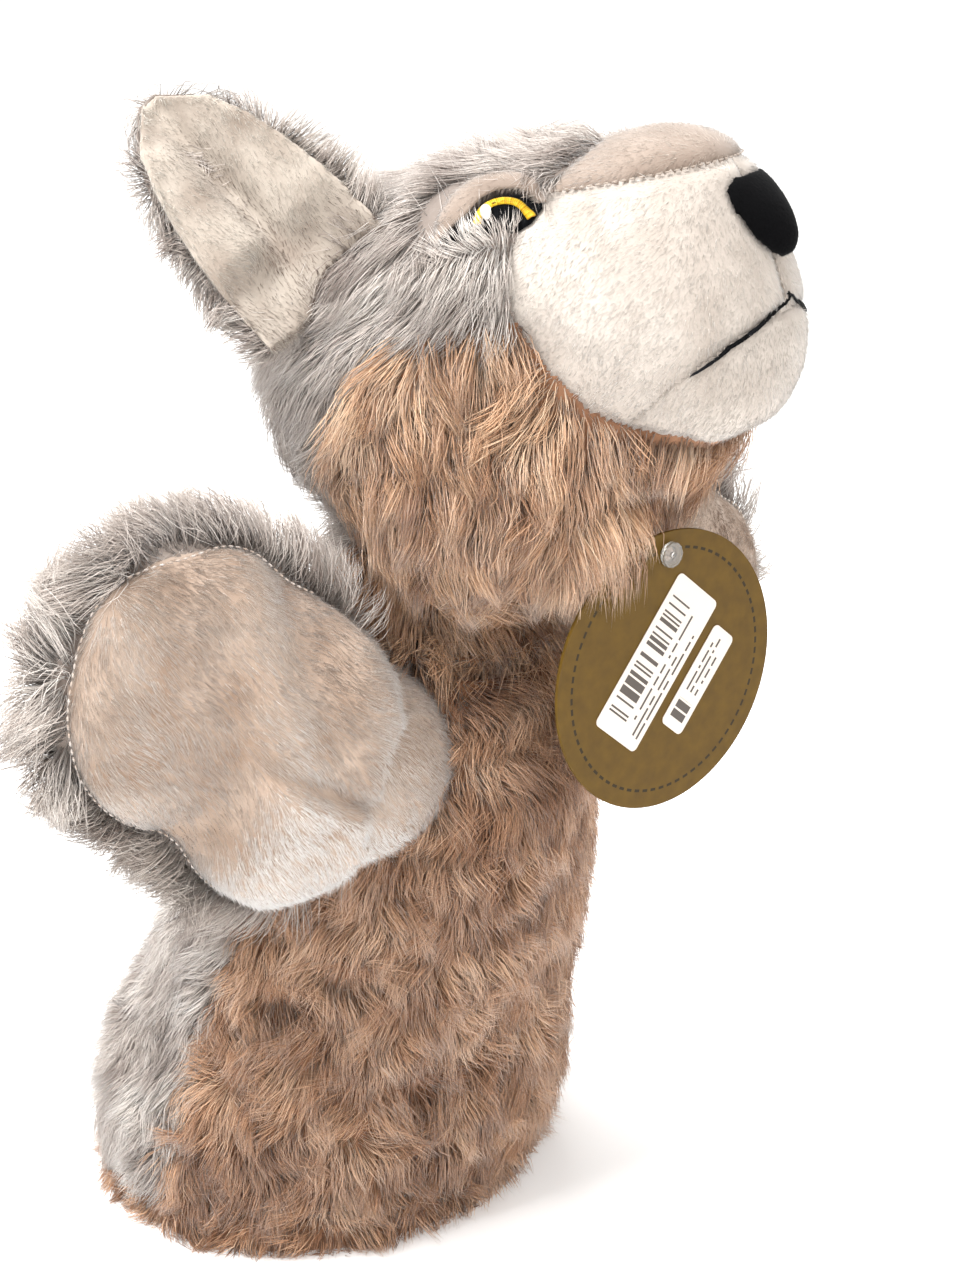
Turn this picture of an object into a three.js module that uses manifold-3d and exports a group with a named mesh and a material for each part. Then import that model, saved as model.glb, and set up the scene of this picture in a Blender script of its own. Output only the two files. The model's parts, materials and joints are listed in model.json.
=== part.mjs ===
// Plush wolf hand puppet: a fabric sleeve worn on a hand, with a padded head over the index finger
// and two mitten arms over the thumb and middle finger. Millimetres, +Z up, facing -Y.
// The origin is the centre of the sleeve's hem, on the plane where the hem ends.
import * as THREE from 'three';
import { mergeVertices } from 'three/addons/utils/BufferGeometryUtils.js';
import Module from 'manifold-3d';

const wasm = await Module();
wasm.setup();

// ---- Driving dimensions ----
const GAP = 0.3; // clearance between neighbouring pieces
const PILE = 3.2; // fabric and the dense part of its pile, together
const LINING = 1.2; // lining cloth
const LINING_SLACK = 1; // between the lining and the fur fabric
const HEM_HEIGHT = 7;
const SLEEVE_FOOT = HEM_HEIGHT + GAP;
const SLEEVE_TOP = 132; // where the sleeve ends below the neck
const SLEEVE_ROWS = 6;
const NECK = new THREE.Vector3(0, -32, 146); // where head turn and head nod cross
const NECK_BALL = 21.5; // the neck cuff is round about that point, so the head clears it
const HEAD_PITCH = 37; // degrees, nose up from the pattern's own level
const FINGER = 11.2; // inner radius of the head's finger pocket
const ARM_FINGER = 7.6; // inner radius of an arm's finger pocket
const SHOULDER = new THREE.Vector3(37, -31, 115); // left shoulder; the right one mirrors it
const SHOULDER_BALL = 21.5; // the shoulder is round about that point, so the arm clears it
const CUFF_WALL = 2.4; // wall of the neck's and the shoulders' round cuffs
const SHOULDER_MOUTH = 27; // degrees from its axis at which the round shoulder opens for the finger
const ARM_BASE = 9; // the arm's fabric starts this far out from the shoulder
const ARM_BASE_LEAN = 0.3; // how far its base leans out per mm down, as the sleeve does
const ARM_SEAM = -3; // y of the seam between plush and fur, from the arm's or shoulder's centre
const ARM_POSE = { left: { sweep: -14, raise: -5 }, right: { sweep: 24, raise: 24 } }; // degrees
const EAR_BASE = new THREE.Vector3(35.5, -33, 60); // left ear, in the head's own frame
const EAR = { height: 46, halfWidth: 17, thickness: 2, cup: 8, splay: 12, root: 0.15 };
const EAR_POSE = { left: { face: 74, fold: 92 }, right: { face: 50, fold: 2 } }; // degrees; the left flops
const EYE = { at: [31, -76, 52], tilt: 0.25 }; // the left eye lies on the skin, this way from HEAD's centre
const THREAD = 0.7; // radius of the stitched mouth line
const SMILE = [[21, -86, 4], [16, -92, 5], [9, -98, 5], [0, -101, 8]]; // its left half, aimed as EYE is
const PHILTRUM = [[0, -101, 8], [0, -102, 11], [0, -103, 14]]; // from the mouth up to the nose
const TAG = { radius: 29, thickness: 0.8, hole: 1.6, margin: 4.5, face: -20 };
const TAG_PIN = new THREE.Vector3(-7, -86.5, 160); // where the hang tag's hole is
const LABELS = { // papers on the tag: centre from the card's centre
  large: { width: 35, height: 14, x: 0, y: 3.5 },
  small: { width: 23, height: 7, x: 2.5, y: -9.5 },
};
const LABEL_SLANT = 50; // degrees

// Sleeve sections up the body: height, centre line y, half width and half depth.
const SLEEVE = [
  { z: 0, y: 3, w: 54, d: 48 },
  { z: 40, y: -5, w: 51, d: 45 },
  { z: 85, y: -20, w: 46, d: 43 },
  { z: 115, y: -29, w: 38, d: 36 },
  { z: SLEEVE_TOP, y: NECK.y, w: 26, d: 26 },
];

// The head is one smooth union of ellipsoids, in its own frame: neck at the origin, bridge nearly level.
const HEAD_LOBES = [
  { at: [0, -31, 36], r: [42, 37, 35] }, // skull
  { at: [17, -58, 42], r: [20, 19, 20] }, // brow, left
  { at: [-17, -58, 42], r: [20, 19, 20] },
  { at: [18, -36, 10], r: [25, 28, 25] }, // cheek ruff, left
  { at: [-18, -36, 10], r: [25, 28, 25] },
  { at: [0, -78, 22], r: [28, 25.5, 28] }, // muzzle
  { at: [0, -85, 36], r: [21, 22, 15] }, // bridge of the nose
  { at: [0, -78, 6], r: [23, 18, 17] }, // chin
];
const HEAD = { lobes: HEAD_LOBES, blend: 3.5, centre: new THREE.Vector3(0, -52, 28) };

// An arm in its own frame: shoulder at the origin, pointing along +X, palm facing -Y.
const ARM_LOBES = [
  { at: [44, 0, 8], r: [32, 15, 31] }, // paw
  { at: [16, 0, -2], r: [27, 25, 31] }, // upper arm
];
const ARM = { lobes: ARM_LOBES, blend: 3, centre: new THREE.Vector3(32, 0, 0) };

// ---- Materials ----
const colour = (hex, roughness = 0.95) =>
  new THREE.MeshStandardMaterial({ color: hex, roughness, metalness: 0 });
const greyFur = () => colour(0xafa59e);
const tanFur = () => colour(0xb08b6c);
const creamPlush = () => colour(0xd9d2c8);
const taupePlush = () => colour(0xa5968a);
const blackPlush = () => colour(0x17181a, 0.85);
const filling = () => colour(0xf2efe8);
const lining = () => colour(0x8d857d);

// ---- Solids ----
/** A manifold solid of a closed three.js geometry. */
function solidOf(geometry) {
  const bare = geometry.clone();
  bare.deleteAttribute('normal');
  bare.deleteAttribute('uv');
  const merged = mergeVertices(bare, 1e-4);
  return new wasm.Manifold(new wasm.Mesh({
    numProp: 3,
    vertProperties: merged.attributes.position.array,
    triVerts: new Uint32Array(merged.index.array),
  }));
}

/** The three.js geometry of a manifold solid. */
function geometryOf(solid) {
  const mesh = solid.getMesh();
  const geometry = new THREE.BufferGeometry();
  geometry.setAttribute('position', new THREE.BufferAttribute(mesh.vertProperties, 3));
  geometry.setIndex(new THREE.BufferAttribute(mesh.triVerts, 1));
  geometry.computeVertexNormals();
  return geometry;
}

/** Moves every vertex of a geometry by a function that changes the point it is given. */
function reshape(geometry, move) {
  const position = geometry.attributes.position;
  const point = new THREE.Vector3();
  for (let i = 0; i < position.count; i += 1) {
    move(point.fromBufferAttribute(position, i));
    position.setXYZ(i, point.x, point.y, point.z);
  }
  return geometry;
}

/** A solid as its mirror image in the plane x = 0. */
function mirrored(solid) {
  const geometry = reshape(geometryOf(solid), (p) => p.setX(-p.x));
  const index = geometry.index.array;
  for (let i = 0; i < index.length; i += 3) [index[i + 1], index[i + 2]] = [index[i + 2], index[i + 1]];
  return solidOf(geometry);
}

const onSide = (solid, side) => (side === 'left' ? solid : mirrored(solid));
const ball = (radius, at = new THREE.Vector3(), detail = 6) =>
  solidOf(new THREE.IcosahedronGeometry(radius, detail).translate(at.x, at.y, at.z));

/** The end of the stretch from `low` over which a test holds, by halving. */
function halve(low, high, test) {
  for (let step = 0; step < 24; step += 1) {
    const middle = (low + high) / 2;
    if (test(middle)) low = middle;
    else high = middle;
  }
  return low;
}

/** Signed distance, near enough, to an ellipsoid. */
function ellipsoidDistance(point, lobe) {
  const [x, y, z] = [0, 1, 2].map((k) => (point.getComponent(k) - lobe.at[k]) / lobe.r[k]);
  const scaled = Math.hypot(x, y, z);
  const slope = Math.hypot(x / lobe.r[0], y / lobe.r[1], z / lobe.r[2]);
  return slope < 1e-9 ? -Math.min(...lobe.r) : (scaled * (scaled - 1)) / slope;
}

/** Signed distance, near enough, to the smooth union of a form's lobes. */
function distanceTo(form, point) {
  const nearness = form.lobes.map((lobe) => Math.exp(-ellipsoidDistance(point, lobe) / form.blend));
  return -form.blend * Math.log(nearness.reduce((sum, value) => sum + value, 0));
}

/** Where a ray from the form's centre comes within `inset` of its skin, on the inside. */
function skinPoint(form, direction, inset = 0) {
  const reach = 120;
  const along = (t) => direction.clone().multiplyScalar(t).add(form.centre);
  return along(halve(0, reach, (t) => distanceTo(form, along(t)) + inset < 0));
}

/** A form as a closed solid, `inset` inside its skin. */
const blob = (form, detail, inset = 0) =>
  solidOf(reshape(new THREE.IcosahedronGeometry(1, detail), (p) => p.copy(skinPoint(form, p, inset))));

/** The form's outward normal at a point. */
function normalAt(form, at) {
  const step = 0.5;
  const slope = ['x', 'y', 'z'].map((axis) => {
    const ahead = at.clone();
    ahead[axis] += step;
    return distanceTo(form, ahead) - distanceTo(form, at);
  });
  return new THREE.Vector3(...slope).normalize();
}

/** Adds a named mesh to a group. */
function piece(group, name, shape, material) {
  const mesh = new THREE.Mesh(shape.isBufferGeometry ? shape : geometryOf(shape), material);
  mesh.name = name;
  group.add(mesh);
  return mesh;
}

// ---- Sleeve ----
/** The sleeve's section at a height, on smooth curves through the SLEEVE rows. */
const sleeveCurves = ['y', 'w', 'd'].map((key) =>
  new THREE.SplineCurve(SLEEVE.map((row) => new THREE.Vector2(row.z, row[key]))));
function sectionAt(z) {
  const along = halve(0, 1, (t) => sleeveCurves[0].getPoint(t).x < z);
  const [y, w, d] = sleeveCurves.map((curve) => curve.getPoint(along).y);
  return { y, w, d };
}

/** A solid plug with the sleeve's section, `inset` inside its skin, between two heights. */
function sleevePlug(inset, bottom, top, rows) {
  const height = top - bottom;
  const around = 28;
  const plug = new THREE.CylinderGeometry(1, 1, height, around, rows).rotateX(Math.PI / 2);
  return solidOf(reshape(plug.translate(0, 0, bottom + height / 2), (p) => {
    const { y, w, d } = sectionAt(p.z);
    p.set(p.x * (w - inset), y + p.y * (d - inset), p.z);
  }));
}

/** A thin upright wall that follows the sleeve's centre line, to part its front from its back. */
function sideSeam(thickness) {
  const size = 200;
  const behind = 8; // how far the side seams lie behind the centre line
  const wall = new THREE.BoxGeometry(size, thickness, size, 1, 1, 20).translate(0, 0, size / 2 - 10);
  return solidOf(reshape(wall, (p) => p.setY(p.y + sectionAt(p.z).y + behind)));
}

/** The round holes at both shoulders, along the X axis. */
function shoulderHoles(radius) {
  const length = 2 * (SHOULDER.x + 20);
  const hole = new THREE.CylinderGeometry(radius, radius, length, 24).rotateZ(Math.PI / 2);
  return solidOf(hole.translate(0, SHOULDER.y, SHOULDER.z));
}

function addSleeve(group) {
  const rows = SLEEVE_ROWS;
  const overrun = 5;
  const bottom = SLEEVE_FOOT;
  const hollow = sleevePlug(PILE, bottom - overrun, SLEEVE_TOP + overrun, rows + 1);
  const holes = shoulderHoles(ARM_FINGER + 2);
  const shell = sleevePlug(0, bottom, SLEEVE_TOP, rows).subtract(hollow).subtract(holes);
  const halves = shell.subtract(sideSeam(GAP)).decompose();
  const middleY = (half) => (half.boundingBox().min[1] + half.boundingBox().max[1]) / 2;
  const [front, back] = halves.sort((a, b) => middleY(a) - middleY(b));
  piece(group, 'body_front', front, tanFur());
  piece(group, 'body_back', back, greyFur());

  const hand = sleevePlug(PILE + LINING, -overrun, HEM_HEIGHT + overrun, 2);
  piece(group, 'hem_binding', sleevePlug(0, 0, HEM_HEIGHT, 2).subtract(hand), tanFur());

  const skin = PILE + LINING_SLACK;
  const top = SLEEVE_TOP - 6; // short of the neck's collar
  const cloth = sleevePlug(skin, bottom, top, rows)
    .subtract(sleevePlug(skin + LINING, bottom - overrun, SLEEVE_TOP, rows + 1))
    .subtract(shoulderHoles(ARM_FINGER + 1));
  piece(group, 'hand_lining', cloth, lining());
}

/** Points of a profile along a circle about the origin, from one polar angle to another, in degrees. */
function arcOfProfile(radius, from, to, steps = 5) {
  return Array.from({ length: steps + 1 }, (_, i) => {
    const angle = THREE.MathUtils.degToRad(from + ((to - from) * i) / steps);
    return new THREE.Vector2(radius * Math.sin(angle), radius * Math.cos(angle));
  });
}

/** A round ring about Z whose closed profile is a list of points, in order. */
const ring = (profile, around = 24) =>
  new THREE.LatheGeometry([...profile, profile[0]], around).rotateX(Math.PI / 2);

/** The fixed end of the sleeve: a round collar that the head's ruff rides over. */
function neckCuff() {
  const foot = SLEEVE_TOP + GAP - NECK.z;
  const [bore, flange, thickness] = [16, 25, 2];
  const profile = [
    ...arcOfProfile(NECK_BALL - CUFF_WALL, 50, 122),
    new THREE.Vector2(bore, foot),
    new THREE.Vector2(flange, foot),
    new THREE.Vector2(flange, foot + thickness),
    ...arcOfProfile(NECK_BALL, 121, 50),
  ];
  return ring(profile).translate(NECK.x, NECK.y, NECK.z);
}

/** The lining that twists inside the collar as the head turns. */
function neckLining() {
  const outer = NECK_BALL - CUFF_WALL - 0.5;
  const inner = outer - 1.5 * LINING;
  const profile = [...arcOfProfile(outer, 120, 54), ...arcOfProfile(inner, 54, 120)];
  return ring(profile).translate(NECK.x, NECK.y, NECK.z);
}

/** The left shoulder: a round shell standing on the sleeve, which the arm turns about. */
function shoulderCuff() {
  const outer = SHOULDER_BALL - 0.5;
  const [mouth, foot, steps] = [SHOULDER_MOUTH, 150, 9];
  const profile = [
    ...arcOfProfile(outer, foot, mouth, steps),
    ...arcOfProfile(outer - CUFF_WALL, mouth, foot, steps),
  ];
  const shell = ring(profile).rotateY(Math.PI / 2).translate(...SHOULDER.toArray());
  return solidOf(shell).subtract(sleevePlug(-GAP, SLEEVE_FOOT, SLEEVE_TOP, SLEEVE_ROWS));
}

/** Both sewn halves of a shoulder: plush towards the palm and fur behind. */
function addShoulder(object, side) {
  const [back, front] = partBy(shoulderCuff(), [0, SHOULDER.y + ARM_SEAM, 0], [0, 1, 0]);
  piece(object, `shoulder_back_${side}`, onSide(back, side), greyFur());
  piece(object, `shoulder_front_${side}`, onSide(front, side), creamPlush());
}

// ---- Head ----
const HEAD_DETAIL = 6;
const FILLING_DETAIL = 4;
const headSkin = blob(HEAD, HEAD_DETAIL);
const headInner = blob(HEAD, FILLING_DETAIL, PILE);
const headFill = blob(HEAD, FILLING_DETAIL, PILE + GAP);

/** A half-space as a large block: everything past a point in a direction. */
function beyond(point, direction) {
  const size = 400;
  const normal = new THREE.Vector3(...direction).normalize();
  const block = new THREE.BoxGeometry(size, size, size).translate(0, 0, size / 2);
  block.applyQuaternion(new THREE.Quaternion().setFromUnitVectors(new THREE.Vector3(0, 0, 1), normal));
  return solidOf(block.translate(point[0], point[1], point[2]));
}

/** Parts a solid by a plane into [beyond, before], leaving the usual gap between them. */
function partBy(solid, point, direction) {
  const step = new THREE.Vector3(...direction).normalize().multiplyScalar(GAP / 2);
  const at = new THREE.Vector3(...point);
  const far = beyond(at.clone().add(step).toArray(), direction);
  const near = beyond(at.clone().sub(step).toArray(), direction);
  return [solid.intersect(far), solid.subtract(near)];
}

/** The axis of the finger pocket: from the neck to the skull, upright in the object's own frame. */
const POCKET_TILT = THREE.MathUtils.degToRad(HEAD_PITCH);
const POCKET_END = 60; // from the neck or shoulder to the closed end of its finger pocket
const POCKET_BORE_START = 10; // where a bore starts, inside the round clearance that it meets
const POCKET_CLEARANCE = 0.4;

/** The rounded closed end of a pocket's profile: a quarter circle about (0, height). */
const domeOfProfile = (radius, height, steps) =>
  arcOfProfile(radius, 90, 0, steps).map((p) => new THREE.Vector2(p.x, p.y + height));

/** The closed cloth tube that the index finger fills, or with `extra` clearance the bore for it. */
function headPocket(extra) {
  const start = extra ? POCKET_BORE_START : NECK_BALL + 1.2;
  const outer = FINGER + LINING + extra;
  const dome = (radius) => domeOfProfile(radius, POCKET_END - outer, 5);
  const outside = [new THREE.Vector2(outer, start), ...dome(outer)];
  const inside = extra
    ? [new THREE.Vector2(0, start)]
    : [...dome(FINGER).reverse(), new THREE.Vector2(FINGER, start)];
  const tube = new THREE.LatheGeometry([...outside, ...inside, outside[0]], 16).rotateX(Math.PI / 2);
  return solidOf(tube.rotateX(POCKET_TILT));
}

/** A plate that follows the head's skin from `low` to `high` above it, inside a cutter. */
const plateOnHead = (cutter, low, high) =>
  blob(HEAD, HEAD_DETAIL, -high).subtract(blob(HEAD, HEAD_DETAIL, -low)).intersect(cutter);

/** A cylinder along X that parts the head's panels; y and z are its axis. */
const crossCylinder = (radius, y, z) =>
  solidOf(new THREE.CylinderGeometry(radius, radius, 200, 40).rotateZ(Math.PI / 2).translate(0, y, z));

/** Parts a shell by a cylinder across the head into [inside, outside], with the usual gap. */
function partByCylinder(shell, radius, y, z) {
  const inside = shell.intersect(crossCylinder(radius - GAP / 2, y, z));
  const outside = shell.subtract(crossCylinder(radius + GAP / 2, y, z));
  return [inside, outside];
}

/** The skin of the head and muzzle, cut into its sewn panels. */
function addHeadPanels(head) {
  const clearance = ball(NECK_BALL + 0.7, new THREE.Vector3(), 5);
  const shell = headSkin.subtract(headInner).subtract(clearance);
  const [muzzle, back] = partByCylinder(shell, 36, -100, 20);
  const [ruff, crown] = partByCylinder(back, 34, -42, 5);
  const largest = (solid) => solid.decompose().sort((a, b) => b.volume() - a.volume())[0];
  piece(head, 'head_crown', largest(crown), greyFur());
  const [ruffLeft, ruffRight] = partBy(ruff, [0, 0, 0], [1, 0, 0]);
  piece(head, 'cheek_ruff_left', largest(ruffLeft), tanFur());
  piece(head, 'cheek_ruff_right', largest(ruffRight), tanFur());

  const [bridge, lower] = partBy(muzzle, [0, -79.5, 47], [0, -0.4, 0.9]);
  const [sides, chin] = partBy(lower, [0, -90, 5], [0, 0.11, 1]);
  piece(head, 'muzzle_bridge', bridge, taupePlush());
  const [sideLeft, sideRight] = partBy(sides, [0, 0, 0], [1, 0, 0]);
  piece(head, 'muzzle_left', sideLeft, creamPlush());
  piece(head, 'muzzle_right', sideRight, creamPlush());
  piece(head, 'chin', chin, creamPlush());

  const hollow = ball(NECK_BALL + 2, new THREE.Vector3(), 5).add(headPocket(POCKET_CLEARANCE));
  piece(head, 'head_filling', headFill.subtract(hollow), filling());
  piece(head, 'head_finger_pocket', headPocket(0), lining());
}

/** The point of the head's skin that is seen from its centre towards a target. */
const onHead = (target) => skinPoint(HEAD, new THREE.Vector3(...target).sub(HEAD.centre).normalize());

/** An oval bar through the skin at the eye, along its normal, to cut a patch from a plate. */
function throughEye(halfWidth, halfHeight, shift = [0, 0]) {
  const centre = onHead(EYE.at);
  const normal = normalAt(HEAD, centre);
  const right = new THREE.Vector3(0, 0, 1).cross(normal).normalize();
  const up = normal.clone().cross(right);
  const frame = new THREE.Matrix4().makeBasis(right, up, normal).setPosition(centre);
  const bar = new THREE.CylinderGeometry(1, 1, 16, 16).rotateX(Math.PI / 2).scale(halfWidth, halfHeight, 1);
  return solidOf(bar.rotateZ(EYE.tilt).translate(shift[0], shift[1], 0).applyMatrix4(frame));
}

/** One eye: a black embroidered patch, a gold iris, a white glint and a padded lid over it. */
function addEye(head, side) {
  const [patchTop, irisTop, glintTop, lidTop] = [1, 1.8, 2.5, PILE]; // above the head's skin
  const patch = plateOnHead(throughEye(9.5, 6), GAP, patchTop);
  const iris = plateOnHead(throughEye(5, 4.2, [-0.5, 0]), patchTop + GAP, irisTop);
  const glint = plateOnHead(throughEye(1.3, 1.6, [2, 1]), irisTop + GAP, glintTop);
  const lid = plateOnHead(throughEye(11, 9.5, [0, 4]), GAP, lidTop).subtract(throughEye(10.5, 7, [0, -0.2]));
  piece(head, `eye_patch_${side}`, onSide(patch, side), blackPlush());
  piece(head, `iris_${side}`, onSide(iris, side), colour(0xd9b12c, 0.5));
  piece(head, `eye_glint_${side}`, onSide(glint, side), colour(0xf4f4f0, 0.6));
  piece(head, `eyelid_${side}`, onSide(lid, side), taupePlush());
}

/** A round thread along points on the head's skin, just clear of it. */
function threadOnHead(targets) {
  const points = targets.map(onHead).map((p) => p.addScaledVector(normalAt(HEAD, p), THREAD + GAP));
  const section = new THREE.Shape().absarc(0, 0, THREAD, 0, 2 * Math.PI, false);
  const extrudePath = new THREE.CatmullRomCurve3(points);
  const steps = 3 * points.length;
  return solidOf(new THREE.ExtrudeGeometry(section, { steps, curveSegments: 3, extrudePath }));
}

function addNoseAndMouth(head) {
  const clear = blob(HEAD, HEAD_DETAIL, -GAP);
  const facing = new THREE.Quaternion().setFromUnitVectors(
    new THREE.Vector3(0, 0, 1),
    new THREE.Vector3(0, -1, 0.3).normalize(),
  );
  const narrowing = (p) => p.setX(p.x * (0.75 + 0.3 * p.y)); // wide at the top, narrow at the foot
  const shield = reshape(new THREE.IcosahedronGeometry(1, 3), narrowing).scale(14.5, 14, 6.5);
  const pad = shield.applyQuaternion(facing).translate(0, -102, 27.5);
  piece(head, 'nose', solidOf(pad).subtract(clear), blackPlush());

  const otherSide = SMILE.slice(0, -1).reverse().map(([x, y, z]) => [-x, y, z]);
  const mouth = threadOnHead([...SMILE, ...otherSide]).add(threadOnHead(PHILTRUM));
  piece(head, 'mouth_stitch', mouth, blackPlush());
}

/** Half of an ear: a bowed plate with a rounded tip. Its root is on X, its inner face towards -Y. */
function earLeaf(front, thickness, margin) {
  const { height, halfWidth, cup, root } = EAR;
  const plate = new THREE.BoxGeometry(2, 1, 1, 6, 7, 1).translate(0, 0.5, 0).rotateX(Math.PI / 2);
  return solidOf(reshape(plate, (p) => {
    const along = THREE.MathUtils.clamp(p.z, 0, 1) * (1 + root) - root;
    const up = Math.max(along, 0);
    const half = (halfWidth - margin) * Math.sqrt(1.01 - up ** 1.9);
    const across = p.x;
    const bow = cup * across * across * (1 - 0.6 * up);
    p.set(across * half, front + (0.5 + p.y) * thickness - bow, along * (height - margin));
  }));
}

function addEars(head) {
  const clear = blob(HEAD, HEAD_DETAIL, -2.2); // room for the ear to flop
  for (const side of ['left', 'right']) {
    const angles = [EAR_POSE[side].fold, EAR.splay, EAR_POSE[side].face].map(THREE.MathUtils.degToRad);
    const turn = new THREE.Euler(...angles, 'ZYX');
    const place = new THREE.Matrix4().makeRotationFromEuler(turn).setPosition(EAR_BASE);
    const placed = (leaf) => solidOf(geometryOf(leaf).applyMatrix4(place)).subtract(clear);
    const plush = placed(earLeaf(-EAR.thickness, EAR.thickness, 1));
    const fur = placed(earLeaf(GAP, EAR.thickness, 0));
    piece(head, `ear_lining_${side}`, onSide(plush, side), colour(0xcdc4ba));
    piece(head, `ear_back_${side}`, onSide(fur, side), greyFur());
  }
}

// ---- Arms ----
/** The closed cloth tube inside an arm, or with `extra` clearance the bore for it. */
function armPocket(extra) {
  const start = extra ? 0 : SHOULDER_BALL + 1;
  const outer = ARM_FINGER + LINING + extra;
  const dome = (radius) => domeOfProfile(radius, POCKET_END - outer, 4);
  const inside = extra
    ? [new THREE.Vector2(0, start)]
    : [...dome(ARM_FINGER).reverse(), new THREE.Vector2(ARM_FINGER, start)];
  const profile = [new THREE.Vector2(outer, start), ...dome(outer), ...inside];
  return solidOf(ring(profile, 16).rotateY(Math.PI / 2));
}

function addArm(object, side) {
  const sign = side === 'left' ? 1 : -1;
  const arm = new THREE.Group();
  arm.position.set(sign * SHOULDER.x, SHOULDER.y, SHOULDER.z);
  const sweep = THREE.MathUtils.degToRad(ARM_POSE[side].sweep);
  const raise = THREE.MathUtils.degToRad(ARM_POSE[side].raise);
  arm.rotation.set(0, -sign * raise, sign * sweep, 'ZYX');
  object.add(arm);

  const cuffClear = ball(SHOULDER_BALL + 0.5, new THREE.Vector3(), 4);
  const unturn = new THREE.Quaternion().setFromEuler(new THREE.Euler(0, -raise, sweep, 'ZYX')).invert();
  const outward = new THREE.Vector3(1, 0, ARM_BASE_LEAN).applyQuaternion(unturn);
  const base = beyond([ARM_BASE, 0, 0], outward.toArray());
  const hollow = cuffClear.add(armPocket(POCKET_CLEARANCE));
  const shell = blob(ARM, 4).subtract(blob(ARM, 2, PILE)).subtract(hollow).intersect(base);
  const [back, palm] = partBy(shell, [0, ARM_SEAM, 0], [0, 1, 0]);
  const padding = blob(ARM, 2, PILE + GAP).subtract(hollow).intersect(base);
  piece(arm, `arm_back_${side}`, onSide(back, side), greyFur());
  piece(arm, `palm_${side}`, onSide(palm, side), creamPlush());
  piece(arm, `arm_filling_${side}`, onSide(padding, side), filling());
  piece(arm, `arm_finger_pocket_${side}`, onSide(armPocket(0), side), lining());
}

// ---- Hang tag ----
/** The card's outline with its hole at the top, centred on the hole. */
function tagCard() {
  const drop = TAG.radius - TAG.margin;
  const outline = new THREE.Shape().absarc(0, -drop, TAG.radius, 0, 2 * Math.PI, false);
  outline.holes.push(new THREE.Path().absarc(0, 0, TAG.hole, 0, 2 * Math.PI, true));
  const depth = TAG.thickness;
  return new THREE.ExtrudeGeometry(outline, { depth, bevelEnabled: false, curveSegments: 20 });
}

/** A paper label on the card's face. */
function tagLabel({ width, height, x, y }) {
  const paper = 0.3;
  const slant = THREE.MathUtils.degToRad(LABEL_SLANT);
  return new THREE.BoxGeometry(width, height, paper).translate(x, y, 0).rotateZ(slant)
    .translate(0, TAG.margin - TAG.radius, TAG.thickness + GAP + paper / 2);
}

/** The plastic tagging barb: a round head in front of the card and a filament through its hole. */
function tagBarb() {
  const pin = (radius, length, sides, from) =>
    solidOf(new THREE.CylinderGeometry(radius, radius, length, sides).rotateX(Math.PI / 2)
      .translate(0, 0, from + length / 2));
  const front = TAG.thickness + GAP;
  return pin(2.6, 1, 12, front).add(pin(0.6, 8, 8, front - 6.7));
}

function addTag(head) {
  const tag = new THREE.Group();
  tag.position.copy(TAG_PIN);
  tag.rotation.set(Math.PI / 2, 0, THREE.MathUtils.degToRad(TAG.face), 'ZYX');
  head.add(tag);
  piece(tag, 'tag_card', tagCard(), colour(0x5b4a12, 0.6));
  for (const [size, label] of Object.entries(LABELS)) {
    piece(tag, `tag_label_${size}`, tagLabel(label), colour(0xe6ddd2, 0.5));
  }
  piece(tag, 'tag_barb', tagBarb(), colour(0xe8e8e8, 0.3));
}

// ---- The puppet ----
const group = new THREE.Group();
const head = new THREE.Group();
head.position.copy(NECK);
head.rotation.x = -THREE.MathUtils.degToRad(HEAD_PITCH);
group.add(head);

addSleeve(group);
piece(group, 'neck_cuff', neckCuff(), tanFur());
piece(group, 'neck_lining', neckLining(), lining());
for (const side of ['left', 'right']) {
  addShoulder(group, side);
  addArm(group, side);
  addEye(head, side);
}
addHeadPanels(head);
addNoseAndMouth(head);
addEars(head);
addTag(group);

export default group;
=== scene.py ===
"""Looks of the plush wolf hand puppet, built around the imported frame: skins, fur, plush, embroidery, tag."""
import json
import math

import bmesh
import bpy
import numpy as np
from mathutils import Matrix, Vector
from mathutils.bvhtree import BVHTree
from mathutils.kdtree import KDTree


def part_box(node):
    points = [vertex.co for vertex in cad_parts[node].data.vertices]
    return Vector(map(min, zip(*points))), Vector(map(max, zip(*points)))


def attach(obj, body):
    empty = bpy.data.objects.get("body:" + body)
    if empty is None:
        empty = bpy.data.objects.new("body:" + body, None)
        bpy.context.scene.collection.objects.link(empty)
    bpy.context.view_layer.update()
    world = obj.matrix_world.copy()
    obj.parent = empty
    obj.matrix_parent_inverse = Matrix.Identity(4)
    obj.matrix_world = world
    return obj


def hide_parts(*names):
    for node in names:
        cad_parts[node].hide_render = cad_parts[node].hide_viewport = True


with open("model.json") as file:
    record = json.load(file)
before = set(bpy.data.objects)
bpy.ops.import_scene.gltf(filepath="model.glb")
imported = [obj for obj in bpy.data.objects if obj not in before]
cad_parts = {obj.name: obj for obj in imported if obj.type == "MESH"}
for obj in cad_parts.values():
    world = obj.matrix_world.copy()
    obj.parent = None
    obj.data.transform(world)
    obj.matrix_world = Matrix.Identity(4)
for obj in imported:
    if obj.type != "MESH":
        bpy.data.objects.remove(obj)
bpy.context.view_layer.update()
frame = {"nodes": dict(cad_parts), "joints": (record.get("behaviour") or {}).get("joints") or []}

MM = 0.001
SIDES = ("left", "right")
SIGN = {"left": 1, "right": -1}
JOINTS = {joint["name"]: joint for joint in frame["joints"]}

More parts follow.
